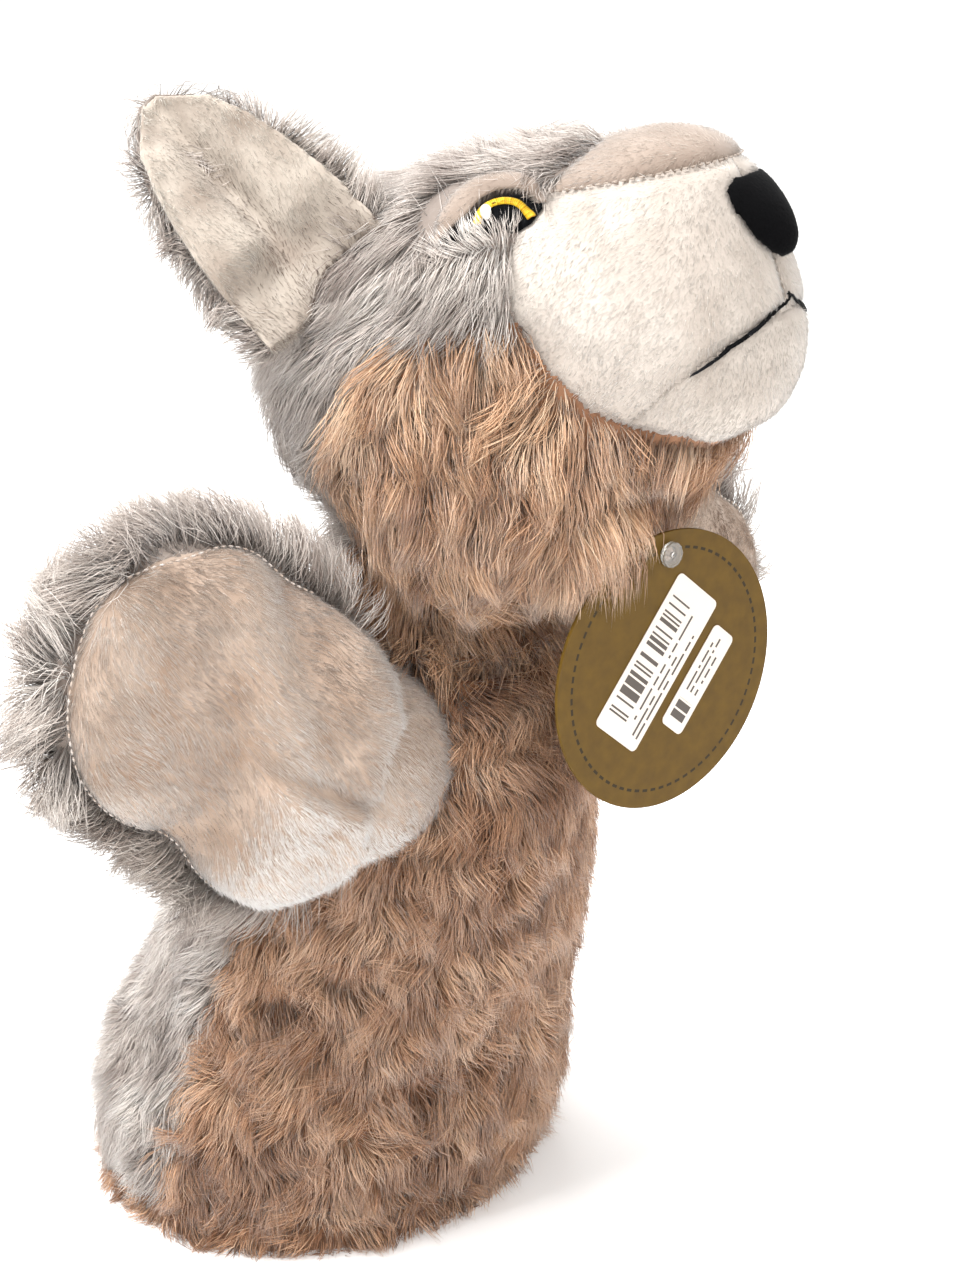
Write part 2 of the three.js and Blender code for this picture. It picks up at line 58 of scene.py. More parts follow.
# ---- The head's and the arms' own frames, as the CAD places them ----
NECK = Vector(JOINTS["head_nod"]["pos_m"])
HEAD_PITCH = math.radians(37)
HEAD = Matrix.Translation(NECK) @ Matrix.Rotation(-HEAD_PITCH, 4, "X")
HEAD_MIDDLE = HEAD @ (Vector((0, -52, 28)) * MM)
ARM_SWEEP = {"left": -14, "right": 24}
ARM_RAISE = {"left": -5, "right": 24}


def arm_frame(side):
    """The arm's own frame: shoulder at the origin, outward along its X for the left arm, palm towards -Y."""
    sweep = Matrix.Rotation(SIGN[side] * math.radians(ARM_SWEEP[side]), 4, "Z")
    raised = Matrix.Rotation(-SIGN[side] * math.radians(ARM_RAISE[side]), 4, "Y")
    return Matrix.Translation(Vector(JOINTS[f"arm_{side}_swing"]["pos_m"])) @ sweep @ raised


ARM = {side: arm_frame(side) for side in SIDES}


# ---- Small vector tools on arrays of points ----
def unit(vectors):
    return vectors / np.maximum(np.linalg.norm(vectors, axis=-1, keepdims=True), 1e-9)


def to_local(matrix, points):
    """Points in metres as millimetres in a frame."""
    inverse = np.array(matrix.inverted())
    return (points @ inverse[:3, :3].T + inverse[:3, 3]) / MM


def turned(matrix, vectors):
    """Directions of a frame in the object's frame."""
    return vectors @ np.array(matrix)[:3, :3].T


def smooth_noise(points, size, seed, octaves=6):
    """A smooth pseudo-random value about -1..1 at points in metres; its features are about `size` mm."""
    random = np.random.RandomState(seed)
    waves = unit(random.normal(size=(octaves, 3))) * (2 * math.pi / (size * MM))
    waves = waves * random.uniform(0.6, 1.4, (octaves, 1))
    phases = random.uniform(0, 2 * math.pi, octaves)
    return np.sin(points @ waves.T + phases).sum(1) / math.sqrt(octaves)


def vector_noise(points, size, seed):
    return np.stack([smooth_noise(points, size, seed + k) for k in range(3)], 1)


def smoothstep(low, high, x):
    t = np.clip((x - low) / (high - low), 0, 1)
    return t * t * (3 - 2 * t)


# ---- Meshes ----
def add_object(name, data):
    thing = bpy.data.objects.new(name, data)
    bpy.context.scene.collection.objects.link(thing)
    return thing


def new_mesh(name, shape):
    """A mesh made from a bmesh, which is freed."""
    mesh = bpy.data.meshes.new(name)
    shape.to_mesh(mesh)
    shape.free()
    return mesh


def copy_nodes(name, nodes):
    """A new object whose mesh is a copy of several CAD nodes' meshes."""
    shape = bmesh.new()
    for node in nodes:
        shape.from_mesh(frame["nodes"][node].data)
    bmesh.ops.remove_doubles(shape, verts=shape.verts, dist=0.01 * MM)
    mesh = new_mesh(name, shape)
    mesh.materials.clear()
    return add_object(name, mesh)


def apply_modifier(piece, kind, **settings):
    modifier = piece.modifiers.new(kind.lower(), kind)
    for key, value in settings.items():
        setattr(modifier, key, value)
    with bpy.context.temp_override(object=piece, active_object=piece, selected_objects=[piece]):
        bpy.ops.object.modifier_apply(modifier=modifier.name)
    return piece


def remesh(piece, voxel):
    return apply_modifier(piece, "REMESH", mode="VOXEL", voxel_size=voxel * MM, adaptivity=0)


def smooth(piece, times, factor=0.5):
    return apply_modifier(piece, "SMOOTH", iterations=times, factor=factor)


def subdivide(piece, levels):
    return apply_modifier(piece, "SUBSURF", levels=levels, render_levels=levels)


def vertices_of(piece):
    points = np.empty(len(piece.data.vertices) * 3)
    piece.data.vertices.foreach_get("co", points)
    return points.reshape(-1, 3)


def set_vertices(piece, points):
    piece.data.vertices.foreach_set("co", np.ascontiguousarray(points, dtype=np.float64).ravel())
    piece.data.update()


def normals_of(piece):
    normals = np.empty(len(piece.data.vertices) * 3)
    piece.data.vertex_normals.foreach_get("vector", normals)
    return normals.reshape(-1, 3)


def tree_of(mesh):
    """A search tree over a mesh's surface."""
    shape = bmesh.new()
    shape.from_mesh(mesh)
    tree = BVHTree.FromBMesh(shape)
    shape.free()
    return tree


def shade_smooth(piece):
    piece.data.polygons.foreach_set("use_smooth", [True] * len(piece.data.polygons))
    return piece


CLOTH_FRAMES = 20


def inflate(piece, pressure, cap):
    """Puffs a padded form by a cloth simulation with air pressure; no point moves further than `cap` mm."""
    before = vertices_of(piece)
    modifier = piece.modifiers.new("cloth", "CLOTH")
    cloth = modifier.settings
    cloth.use_pressure = True
    cloth.uniform_pressure_force = pressure
    cloth.effector_weights.gravity = 0
    cloth.quality = 5
    cloth.mass = 0.3
    cloth.tension_stiffness = 15
    cloth.compression_stiffness = 15
    cloth.bending_stiffness = 0.5
    modifier.point_cache.frame_start = 1
    modifier.point_cache.frame_end = CLOTH_FRAMES
    for moment in range(1, CLOTH_FRAMES + 1):
        bpy.context.scene.frame_set(moment)
    with bpy.context.temp_override(object=piece, active_object=piece, selected_objects=[piece]):
        bpy.ops.object.modifier_apply(modifier=modifier.name)
    bpy.context.scene.frame_set(1)
    move = vertices_of(piece) - before
    far = np.linalg.norm(move, axis=1, keepdims=True)
    set_vertices(piece, before + move * np.minimum(1, cap * MM / np.maximum(far, 1e-9)))
    return piece


def padded_skin(name, nodes, smoothing):
    """One closed skin around padded CAD nodes, puffed up as filling would."""
    skin = copy_nodes(name, nodes)
    remesh(skin, 4)
    smooth(skin, smoothing)
    inflate(skin, pressure=4, cap=2.5)
    return subdivide(skin, 2)


# ---- Fur and plush: many closed, tapered strands in one mesh ----
TONES = 16  # how many shades one fur has
TRIANGLES_IN_A_PIECE = 190000  # a coat with more is made as several pieces
FLOOR_CLEARANCE = 0.3 * MM
ROOT_DEPTH = 0.4  # a strand starts this far, in mm, under the skin
TIP_WIDTH = 0.55  # of the width at the root
STRAY_START, STRAY_END = 0.12, 0.16  # how far a strand's two halves wander from its lie
STRAND_ARC = 1.15  # makes up for the bend, so that a strand keeps its length
WAVE_TURN = 4.2  # radians of a wave along a strand
TONE_SPREAD = 0.16
UV_LAYER = "OFBake"


class Coat:
    """How a fur or plush lies: strands per square mm, length, width, lift off the skin, clumping."""

    def __init__(self, density, length, width, lift, clump=0.0, clump_size=4.0, wave=0.0, parts=2, vary=0.3):
        self.density, self.length, self.width, self.lift = density, length, width, lift
        self.clump, self.clump_size, self.wave, self.parts, self.vary = clump, clump_size, wave, parts, vary


LONG = Coat(3.0, 11, 0.21, 0.36, clump=0.5, clump_size=3.6, wave=1.2)
RUFF_COAT = Coat(3.0, 12, 0.23, 0.34, clump=0.7, clump_size=3.8, wave=1.5, parts=3)
BODY_COAT = Coat(3.0, 9, 0.21, 0.46, clump=0.5, clump_size=3.2, wave=1.3)
SHAGGY = Coat(3.0, 14, 0.21, 0.6, clump=0.6, clump_size=4.2, wave=1.5, parts=3)
EAR_COAT = Coat(2.6, 8, 0.22, 0.4, clump=0.5, wave=1)
HEM_COAT = Coat(2.2, 8, 0.24, 0.35, clump=0.5, wave=1)
NECK_COAT = Coat(3.2, 14, 0.24, 0.55, clump=0.5, wave=1)
TAG_COVER = Coat(4.5, 16, 0.23, 0.7, clump=0.6, clump_size=3.4, wave=1.3, parts=3)
TUFT = Coat(2.5, 9, 0.21, 0.85, clump=0.5, clump_size=3.5, wave=1.2)
FRINGE = Coat(5, 5.0, 0.2, 0.5, clump=0.4, clump_size=2)
PLUSH = Coat(8, 2.2, 0.18, 0.26, clump=0.12, clump_size=1.6, parts=1)
PALM_PLUSH = Coat(7.5, 3.2, 0.18, 0.28, clump=0.25, clump_size=1.8, parts=1)
LID_PLUSH = Coat(9, 1.8, 0.18, 0.3, clump=0.2, clump_size=1.5, parts=1)
VELVET = Coat(9, 0.9, 0.16, 0.6, parts=1)


def scatter(piece, density, random):
    """Points and normals spread evenly over a skin piece's outside."""
    mesh = piece.data
    mesh.calc_loop_triangles()
    count = len(mesh.loop_triangles)
    corners = np.empty(count * 3, np.int32)
    mesh.loop_triangles.foreach_get("vertices", corners)
    owner = np.empty(count, np.int32)
    mesh.loop_triangles.foreach_get("polygon_index", owner)
    corners = corners.reshape(-1, 3)[owner < piece["outer_faces"]]
    points, normals = vertices_of(piece), normals_of(piece)
    a, b, c = (points[corners[:, k]] for k in range(3))
    areas = np.linalg.norm(np.cross(b - a, c - a), axis=1) / 2 / MM**2
    total = int(areas.sum() * density)
    share = (np.arange(total) + random.uniform(0, 1, total)) / total
    chosen = np.minimum(np.searchsorted(np.cumsum(areas) / areas.sum(), share), len(corners) - 1)
    u, v = random.uniform(0, 1, (2, total))
    over = u + v > 1
    u[over], v[over] = 1 - u[over], 1 - v[over]
    mix = lambda values: sum(
        values[corners[chosen, k]] * weight[:, None] for k, weight in enumerate((1 - u - v, u, v))
    )
    return mix(points), unit(mix(normals))


def nearest_clump(roots, spacing, random):
    """The index, among the roots, of the strand that leads each strand's clump."""
    count = max(1, int(len(roots) / max(spacing, 1)))
    leaders = random.choice(len(roots), count, replace=False)
    tree = KDTree(count)
    for number, leader in enumerate(leaders):
        tree.insert(Vector(roots[leader]), number)
    tree.balance()
    return leaders[np.array([tree.find(Vector(root))[1] for root in roots])]


def strand_mesh(name, lines, radii, tones):
    """One mesh of closed three-sided strands. `lines` is strands by points by 3, and ends at the tips."""
    count, points, _ = lines.shape
    rings = points - 1
    along = unit(np.diff(lines, axis=1))
    side = unit(np.cross(along, np.array([0.37, 0.61, 0.7])))
    other = np.cross(along, side)
    ring = lines[:, :rings, None, :] + sum(
        (turn(2 * math.pi * np.arange(3) / 3))[None, None, :, None] * axis[:, :, None, :]
        for turn, axis in ((np.cos, side), (np.sin, other))
    ) * radii[:, :rings, None, None]
    vertices = np.concatenate([ring.reshape(count, rings * 3, 3), lines[:, -1:, :]], axis=1)
    faces = [[0, 2, 1]]
    for level in range(rings - 1):
        low = 3 * level
        faces += [[low + k, low + (k + 1) % 3, low + 3 + (k + 1) % 3, low + 3 + k] for k in range(3)]
    last = 3 * (rings - 1)
    faces += [[last + k, last + (k + 1) % 3, 3 * rings] for k in range(3)]
    flat = np.concatenate(faces)
    per = rings * 3 + 1
    first = np.cumsum([0] + [len(face) for face in faces[:-1]])
    strand = np.arange(count)[:, None]
    loops = (flat[None, :] + per * strand).ravel()
    starts = (first[None, :] + len(flat) * strand).ravel()
    mesh = bpy.data.meshes.new(name)
    mesh.vertices.add(count * per)
    mesh.vertices.foreach_set("co", vertices.ravel())
    mesh.loops.add(len(loops))
    mesh.loops.foreach_set("vertex_index", loops.astype(np.int32))
    mesh.polygons.add(len(starts))
    mesh.polygons.foreach_set("loop_start", starts.astype(np.int32))
    mesh.update(calc_edges=True)
    across = np.concatenate([np.tile([0.2, 0.5, 0.8], rings), [0.5]])
    height = np.concatenate([np.repeat(np.arange(rings) / rings, 3), [1.0]])
    uv = np.empty((count, len(flat), 2))
    uv[:, :, 0] = (tones[:, None] + across[flat][None, :]) / TONES
    uv[:, :, 1] = 0.02 + 0.96 * height[flat][None, :]
    mesh.uv_layers.new(name=UV_LAYER).data.foreach_set("uv", uv.ravel())
    mesh.polygons.foreach_set("use_smooth", np.ones(len(starts), bool))
    return mesh


def grow(skin, coat, comb, tone, seed, where):
    """A coat's lines, radii and tones. `comb` gives the lie, and `tone` the shade 0..1, at each root."""
    random = np.random.RandomState(seed)
    roots, normals = scatter(skin, coat.density, random)
    if where is not None:
        kept = random.uniform(0, 1, len(roots)) < where(roots)
        roots, normals = roots[kept], normals[kept]
    lie = comb(roots)
    lie = unit(lie - normals * (lie * normals).sum(1, keepdims=True))
    count = len(roots)
    length = coat.length * MM * (1 + coat.vary * random.uniform(-1, 1, count))
    lift = coat.lift * (1 + 0.3 * random.normal(size=count))[:, None]
    lift = np.clip(lift, 0.05, 0.95)
    start = unit(normals * lift + lie * (1 - lift) + STRAY_START * random.normal(size=(count, 3)))
    end = unit(lie + normals * (lift * 0.35 - 0.08) + STRAY_END * random.normal(size=(count, 3)))
    steps = np.linspace(0, 1, coat.parts + 1)[None, :, None]
    bend = start[:, None] * (steps - steps**2 / 2) * STRAND_ARC + end[:, None] * (steps**2 / 2) * STRAND_ARC
    lines = (roots - ROOT_DEPTH * MM * normals)[:, None] + bend * length[:, None, None]
    if coat.wave:
        across = unit(np.cross(normals, lie))
        phase = smooth_noise(roots, 3 * coat.clump_size, seed + 11)[:, None, None] * math.pi
        lines = lines + across[:, None] * np.sin(phase + steps * WAVE_TURN) * steps * coat.wave * MM
    if coat.clump:
        leader = nearest_clump(roots, coat.density * coat.clump_size**2, random)
        gather = coat.clump * random.uniform(0.55, 1.2, count)[:, None, None]
        lines = lines + (lines[leader] - lines) * np.minimum(gather, 0.95) * steps**1.3
    taper = np.linspace(1, TIP_WIDTH, coat.parts + 1)[None, :]
    radii = coat.width * MM / 2 * random.uniform(0.7, 1.25, count)[:, None] * taper
    shade = np.clip(tone(roots) + TONE_SPREAD * random.normal(size=count), 0, 0.999)
    lines[:, :, 2] = np.maximum(lines[:, :, 2], FLOOR_CLEARANCE)
    return lines, radii, np.floor(shade * TONES)


def add_strands(name, lines, radii, tones, look, body, *nodes):
    piece = add_object(name, strand_mesh(name, lines, radii, tones))
    finish_piece(piece, LOOKS[look].strands, body, LOOKS[look].slot, *nodes)


def add_coat(name, skin, coat, comb, tone, seed, look, body, where=None):
    """Grows a coat on a skin piece, split where it is large. `where` is the share of strands kept."""
    lines, radii, tones = grow(skin, coat, comb, tone, seed, where)
    share = math.ceil(len(lines) * (6 * coat.parts - 2) / TRIANGLES_IN_A_PIECE)
    for k in range(share):
        add_strands(f"{name}_{k + 1}", lines[k::share], radii[k::share], tones[k::share], look, body)


# ---- Materials ----
class Shader:
    """A new material, with short ways to add nodes to it."""

    def __init__(self, name):
        self.material = bpy.data.materials.new(name)
        self.material.use_nodes = True
        self.nodes, self.links = self.material.node_tree.nodes, self.material.node_tree.links

    def put(self, socket, value):
        """Sets a socket to a plain value, or links another node's output to it."""
        if isinstance(value, bpy.types.NodeSocket):
            self.links.new(value, socket)
        else:
            socket.default_value = value

    def surface(self, **values):
        """Sets the surface's own sockets, with _ for a space in their names, and returns the material."""
        for name, value in values.items():
            self.put(self.nodes["Principled BSDF"].inputs[name.replace("_", " ")], value)
        return self.material

    def add(self, kind, inputs, **settings):
        """The outputs of a new node, whose inputs are given by name or number."""
        node = self.nodes.new(f"ShaderNode{kind}")
        for name, value in settings.items():
            setattr(node, name, value)
        for name, value in inputs.items():
            self.put(node.inputs[name], value)
        return node.outputs

    def maths(self, kind, first, second=None):
        values = {0: first} if second is None else {0: first, 1: second}
        return self.add("Math", values, operation=kind)[0]

    def mix(self, share, low, high, blend="MIX"):
        return self.add("Mix", {0: share, 6: low, 7: high}, data_type="RGBA", blend_type=blend)[2]

    def place(self):
        """The point on the piece in its own space."""
        return self.add("TexCoord", {})["Object"]

    def noise(self, size, detail):
        """Noise with features of `size` mm."""
        return self.add("TexNoise", {"Vector": self.place(), "Scale": 1 / (size * MM), "Detail": detail})[0]

    def ramp(self, value, stops):
        node = self.nodes.new("ShaderNodeValToRGB")
        elements = node.color_ramp.elements
        while len(elements) < len(stops):
            elements.new(0.5)
        for element, (position, colour) in zip(elements, stops):
            element.position = position
            element.color = (*colour, 1)
        self.put(node.inputs[0], value)
        return node.outputs[0]


def srgb(red, green, blue):
    """A screen colour, 0 to 255, as linear light."""
    return tuple(((v / 255 + 0.055) / 1.055) ** 2.4 if v > 10 else v / 3295 for v in (red, green, blue))


def fur_material(name, dark, middle, light, tip=1.15, root=0.55, roughness=0.5, sheen=0.4, gloss=0.35):
    """Strands darker towards the root by painted shade and lighter towards the tip, as `root` and `tip` set,
    in several tones, by their own UV layer.
    """
    shader = Shader(name)
    across, along, _ = shader.add("SeparateXYZ", {0: shader.add("UVMap", {}, uv_map=UV_LAYER)[0]})
    tone = shader.ramp(shader.maths("SNAP", across, 1 / TONES), [(0.0, dark), (0.5, middle), (1.0, light)])
    # painted shade: each strand darkens towards its root, and its tip is lighter
    shade = shader.ramp(along, [(0.0, (root,) * 3), (0.45, (1.0,) * 3), (1.0, (tip,) * 3)])
    return shader.surface(
        Base_Color=shader.mix(1, tone, shade, "MULTIPLY"),
        Roughness=roughness, Sheen_Weight=sheen, Sheen_Roughness=0.4, Specular_IOR_Level=gloss,
    )


def cloth_material(name, dark, light, grain=0.8, bump=0.35, roughness=0.9, sheen=0.3, gloss=0.3):
    """Woven backing or short nap: noise in two sizes for colour, fine noise for the bump."""
    shader = Shader(name)
    relief = {"Strength": bump, "Distance": 0.4 * MM, "Height": shader.noise(grain, 3)}
    return shader.surface(
        Base_Color=shader.ramp(shader.noise(12, 6), [(0.3, dark), (0.7, light)]),
        Normal=shader.add("Bump", relief)[0],
        Roughness=roughness, Sheen_Weight=sheen, Specular_IOR_Level=gloss,
    )


class Look:
    """A fabric: the record's slot, the material of its strands and that of its backing."""

    def __init__(self, slot, strands=None, backing=None):
        self.slot, self.strands, self.backing = slot, strands, backing


def fabric(slot, name, dark, middle, light, back_dark, back_light, sheen=0.4, cloth=None, **pile):
    """A pile fabric's look, from the colours of its strands and of its backing."""
    strands = fur_material(f"{name}_strands", srgb(*dark), srgb(*middle), srgb(*light), sheen=sheen, **pile)
    backing_name = f"{name.split('_')[0]}_backing"
    backing = cloth_material(backing_name, srgb(*back_dark), srgb(*back_light), **(cloth or {}))
    return Look(slot, strands, backing)


def thread(colour, dark, middle, light):
    strands = fur_material(f"{colour}_threads", srgb(*dark), srgb(*middle), srgb(*light), root=1, tip=1,
                           roughness=0.35, sheen=0.1)
    return Look(f"{colour}_thread", strands)


LOOKS = {
    "grey": fabric("grey_fur", "grey_fur", (138, 124, 116), (196, 185, 177), (232, 226, 219),
                   (110, 98, 90), (160, 148, 140)),
    "tan": fabric("tan_fur", "tan_fur", (128, 88, 62), (192, 148, 115), (232, 198, 168),
                  (104, 70, 48), (160, 116, 86)),
    "ruff": fabric("tan_fur", "ruff_fur", (140, 98, 70), (205, 163, 128), (240, 212, 182),
                   (112, 76, 52), (168, 124, 94)),
    "cream": fabric("cream_plush", "cream_plush", (180, 169, 159), (213, 206, 198), (236, 231, 225),
                    (178, 167, 157), (202, 193, 184), root=0.85, tip=1.05, sheen=0.6),
    "taupe": fabric("taupe_plush", "taupe_plush", (140, 122, 110), (180, 165, 152), (205, 192, 180),
                    (138, 122, 110), (166, 150, 138), root=0.8, tip=1.05),
    # the palm's plush: the same cream plush with painted light; its warm dark end is painted shade and its
    # near-white light end is painted highlight
    "palm": fabric("cream_plush", "palm_plush", (152, 127, 110), (203, 184, 168), (252, 248, 244),
                   (150, 126, 108), (190, 170, 154), root=0.75, tip=1.1, roughness=0.42, sheen=0.7),
    # the ear's plush: its dark colour is painted shade for the lining's valley and root
    "ear": fabric("ear_plush", "ear_plush", (116, 94, 80), (210, 202, 190), (236, 231, 222),
                  (150, 136, 124), (196, 186, 174), root=0.75, tip=1.05, sheen=0.5),
    "black": fabric("black_plush", "black_plush", (6, 6, 7), (11, 11, 13), (22, 23, 27),
                    (5, 5, 6), (9, 9, 11), root=0.8, tip=1.2, sheen=0.02, gloss=0.06,
                    cloth=dict(sheen=0.02, gloss=0.06)),
    "gold_thread": thread("gold", (190, 140, 10), (232, 190, 30), (250, 222, 70)),
    "white_thread": thread("white", (225, 222, 215), (245, 243, 238), (255, 254, 250)),
    "lining": Look("lining_cloth", backing=cloth_material(
        "lining_cloth", srgb(120, 112, 104), srgb(150, 142, 134), grain=0.5)),
    "filling": Look("fibre_filling", backing=cloth_material(
        "fibre_filling", srgb(225, 222, 215), srgb(245, 243, 238), grain=1.5, bump=0.8)),
}
LOOKS["black_thread"] = Look("black_thread", LOOKS["black"].strands)


def finish_piece(piece, look, body, slot, *nodes):
    """Gives a piece its material and body, and hides the CAD nodes that it stands for; `slot` is not used."""
    piece.data.materials.clear()
    piece.data.materials.append(look)
    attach(piece, body)
    if nodes:
        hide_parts(*nodes)
    return piece


def comb_along(direction, swirl, size, seed, place=None):
    """Strands lie along one direction, the object's or that of a frame `place`, with a smooth wander."""
    lie = np.array(direction, float)
    if place is not None:
        lie = turned(place, lie)
    return lambda points: lie + swirl * vector_noise(points, size, seed)


def flat_tone(level, size=9, depth=0.2, seed=3):
    return lambda points: level + depth * smooth_noise(points, size, seed)


# ---- Sewn skins ----
class Panel:
    """One sewn panel: the CAD node that it replaces, its body, and how its pile looks and lies."""

    def __init__(self, node, body, look, coat, comb, tone, where=None):
        self.node, self.body, self.look, self.where = node, body, look, where
        self.coat, self.comb, self.tone = coat, comb, tone


def panel_distances(points, panels):
    """For each point, its distance in mm to each panel's CAD solid."""
    trees = [tree_of(frame["nodes"][panel.node].data) for panel in panels]
    return np.array([[tree.find_nearest(Vector(point))[3] for tree in trees] for point in points]) / MM


def groove(skin, panels, depth=1.0, width=1.5):
    """Pulls a skin in along the seams between its panels."""
    points = vertices_of(skin)
    seam = np.sort(panel_distances(points, panels), axis=1)[:, 1]
    pull = depth * MM * np.exp(-((seam / width) ** 2))
    set_vertices(skin, points - normals_of(skin) * pull[:, None])


def split_panels(skin, panels, outside, thickness=1.2):
    """Cuts a skin into its panels, each a closed sheet of fabric. `outside` says which faces are kept."""
    centres = np.array([face.center for face in skin.data.polygons])
    outward = np.array([face.normal for face in skin.data.polygons])
    kept = outside(centres, outward)
    label = np.full(len(centres), -1)
    label[kept] = panel_distances(centres[kept], panels).argmin(1)
    pieces = {}
    for number, panel in enumerate(panels):
        shape = bmesh.new()
        shape.from_mesh(skin.data)
        shape.faces.ensure_lookup_table()
        drop = [shape.faces[i] for i in np.flatnonzero(label != number)]
        bmesh.ops.delete(shape, geom=drop, context="FACES")
        piece = add_object(f"{panel.node}_fabric", new_mesh(f"{panel.node}_fabric", shape))
        piece["outer_faces"] = len(piece.data.polygons)
        apply_modifier(piece, "SOLIDIFY", thickness=thickness * MM, offset=-1, use_even_offset=False)
        pieces[panel.node] = shade_smooth(piece)
    bpy.data.objects.remove(skin)
    return pieces


def dress(pieces, panels, seed):
    """Grows each panel's coat and finishes its fabric."""
    for number, panel in enumerate(panels):
        piece, look = pieces[panel.node], LOOKS[panel.look]
        add_coat(f"{panel.node}_fur", piece, panel.coat, panel.comb, panel.tone, seed + number, panel.look,
                 panel.body, panel.where)
        finish_piece(piece, look.backing, panel.body, look.slot, panel.node)


# ---- Pieces that are small or out of sight: a finer copy of the CAD node ----
def soft_copy(node, body, look, voxel, times, wrinkle=0.0):
    """A CAD node remade as softly rounded cloth or filling."""
    piece = copy_nodes(f"{node}_cloth", [node])
    remesh(piece, voxel)
    smooth(piece, times)
    if wrinkle:
        points = vertices_of(piece)
        set_vertices(piece, points + normals_of(piece) * (wrinkle * MM * smooth_noise(points, 7, 5))[:, None])
    shade_smooth(piece)
    piece["outer_faces"] = len(piece.data.polygons)
    return finish_piece(piece, LOOKS[look].backing, body, LOOKS[look].slot, node)


# ---- Stitched seams ----
RAY_REACH = 0.2  # from a form's middle to well outside its skin
STITCH_PITCH = 1.7
STITCH_LENGTH = 0.72 * STITCH_PITCH
STITCH_RADII = (0.16, 0.24, 0.24, 0.16)
RAYS_IN_A_RADIAN = 60


def skin_point(tree, middle, aim):
    """The skin's outer point and normal on the way from its middle along a direction."""
    return tree.ray_cast(middle + aim * RAY_REACH, -aim)[:2]


def stitch_seam(name, tree, frame_of, centre, across, start, end, look, body, height):
    """Stitches where a plane meets the skin: rays fan out from `centre` about `across`, `start` to `end`.

    The centre is in mm and the directions are plain, all in the frame `frame_of`.
    """
    turn = frame_of.to_3x3()
    middle = frame_of @ (Vector(centre) * MM)
    axis, first, last = ((turn @ Vector(v)).normalized() for v in (across, start, end))
    sweep = first.angle(last) if axis.dot(first.cross(last)) > 0 else 2 * math.pi - first.angle(last)
    hits = []
    for angle in np.linspace(0, sweep, int(sweep * RAYS_IN_A_RADIAN)):
        point, normal = skin_point(tree, middle, Matrix.Rotation(angle, 3, axis) @ first)
        if point is not None:
            hits.append(point + normal * (height * MM))
    hits = np.array(hits)
    hits = np.array([hits[max(0, k - 3):k + 4].mean(0) for k in range(len(hits))])
    run = np.concatenate([[0], np.cumsum(np.linalg.norm(np.diff(hits, axis=0), axis=1))]) / MM
    starts = np.arange(0, run[-1] - STITCH_PITCH, STITCH_PITCH)
    places = starts[:, None] + np.linspace(0, STITCH_LENGTH, len(STITCH_RADII))[None, :]
    lines = np.stack([np.interp(places, run, hits[:, k]) for k in range(3)], 2)
    radii = np.tile(np.array(STITCH_RADII) * MM, (len(lines), 1))
    tones = np.arange(len(lines)) % 5 + TONES // 2
    add_strands(name, lines, radii, tones, look, body)


# ---- Camera, lights and floor ----
AIM = Vector((0, -0.040, 0.131))
CAMERA = dict(azimuth=-60, elevation=20, distance=0.56)
CAMERA_VIEW = math.radians(27.2)


def face_aim(thing, azimuth, elevation, distance):
    """Puts a lamp or camera at angles in degrees round the aim, facing it."""
    turn, rise = math.radians(azimuth), math.radians(elevation)
    back = Vector((math.sin(turn) * math.cos(rise), -math.cos(turn) * math.cos(rise), math.sin(rise)))
    thing.location = AIM + back * distance
    thing.rotation_euler = back.to_track_quat("Z", "Y").to_euler()


def add_camera():
    lens = bpy.data.cameras.new("camera")
    lens.sensor_fit = "VERTICAL"
    lens.angle = CAMERA_VIEW
    lens.clip_start = 0.01
    bpy.context.scene.camera = add_object("camera", lens)
    face_aim(bpy.context.scene.camera, **CAMERA)


def add_light(name, azimuth, elevation, distance, size, power, colour=(1, 1, 1)):
    lamp = bpy.data.lights.new(name, "AREA")
    lamp.shape = "SQUARE"
    lamp.size = size
    lamp.energy = power
    lamp.color = colour
    face_aim(add_object(name, lamp), azimuth, elevation, distance)


def add_stage():
    """A pale floor under the hem, faintly bright of itself, soft lights and a pale world."""
    bpy.ops.mesh.primitive_plane_add(size=6, location=(0, 0, 0))
    floor = bpy.context.object
    floor.name = "floor"
    floor.data.materials.append(Shader("pale_floor").surface(
        Base_Color=(0.95, 0.948, 0.945, 1), Roughness=0.9, Emission_Color=(1, 0.998, 0.995, 1),
        Emission_Strength=0.22,
    ))
    world = bpy.data.worlds.new("studio")
    world.use_nodes = True
    background = world.node_tree.nodes["Background"]
    background.inputs["Color"].default_value = (1, 0.995, 0.985, 1)
    background.inputs["Strength"].default_value = 1.0
    bpy.context.scene.world = world
    bpy.context.scene.view_settings.view_transform = "Standard"
    bpy.context.scene.view_settings.exposure = -0.2
    add_light("key", -115, 60, 1.2, 0.5, 24)
    add_light("fill", -15, 25, 1.4, 1.0, 5, (1, 0.93, 0.87))
    add_light("back", 140, 45, 1.3, 0.8, 12)


# ---- Face: places on the head's skin ----
EYE_TARGET = (31, -76, 52)  # the left eye lies on the skin, seen this way from the head's middle
EYE_REACH = 15  # mm off the skin that still count as at the eye
EYE_BARE = dict(u=-2.6, v=3.2, half_width=12.0, half_height=8.6)  # the oval kept free of fur, in mm
FACE = {}  # the head's search tree, and each eye's spot


def head_point(x, y, z):
    """The skin's point and normal, seen from the head's middle towards a point in mm in the head's frame."""
    aim = (HEAD @ (Vector((x, y, z)) * MM) - HEAD_MIDDLE).normalized()
    return skin_point(FACE["tree"], HEAD_MIDDLE, aim)


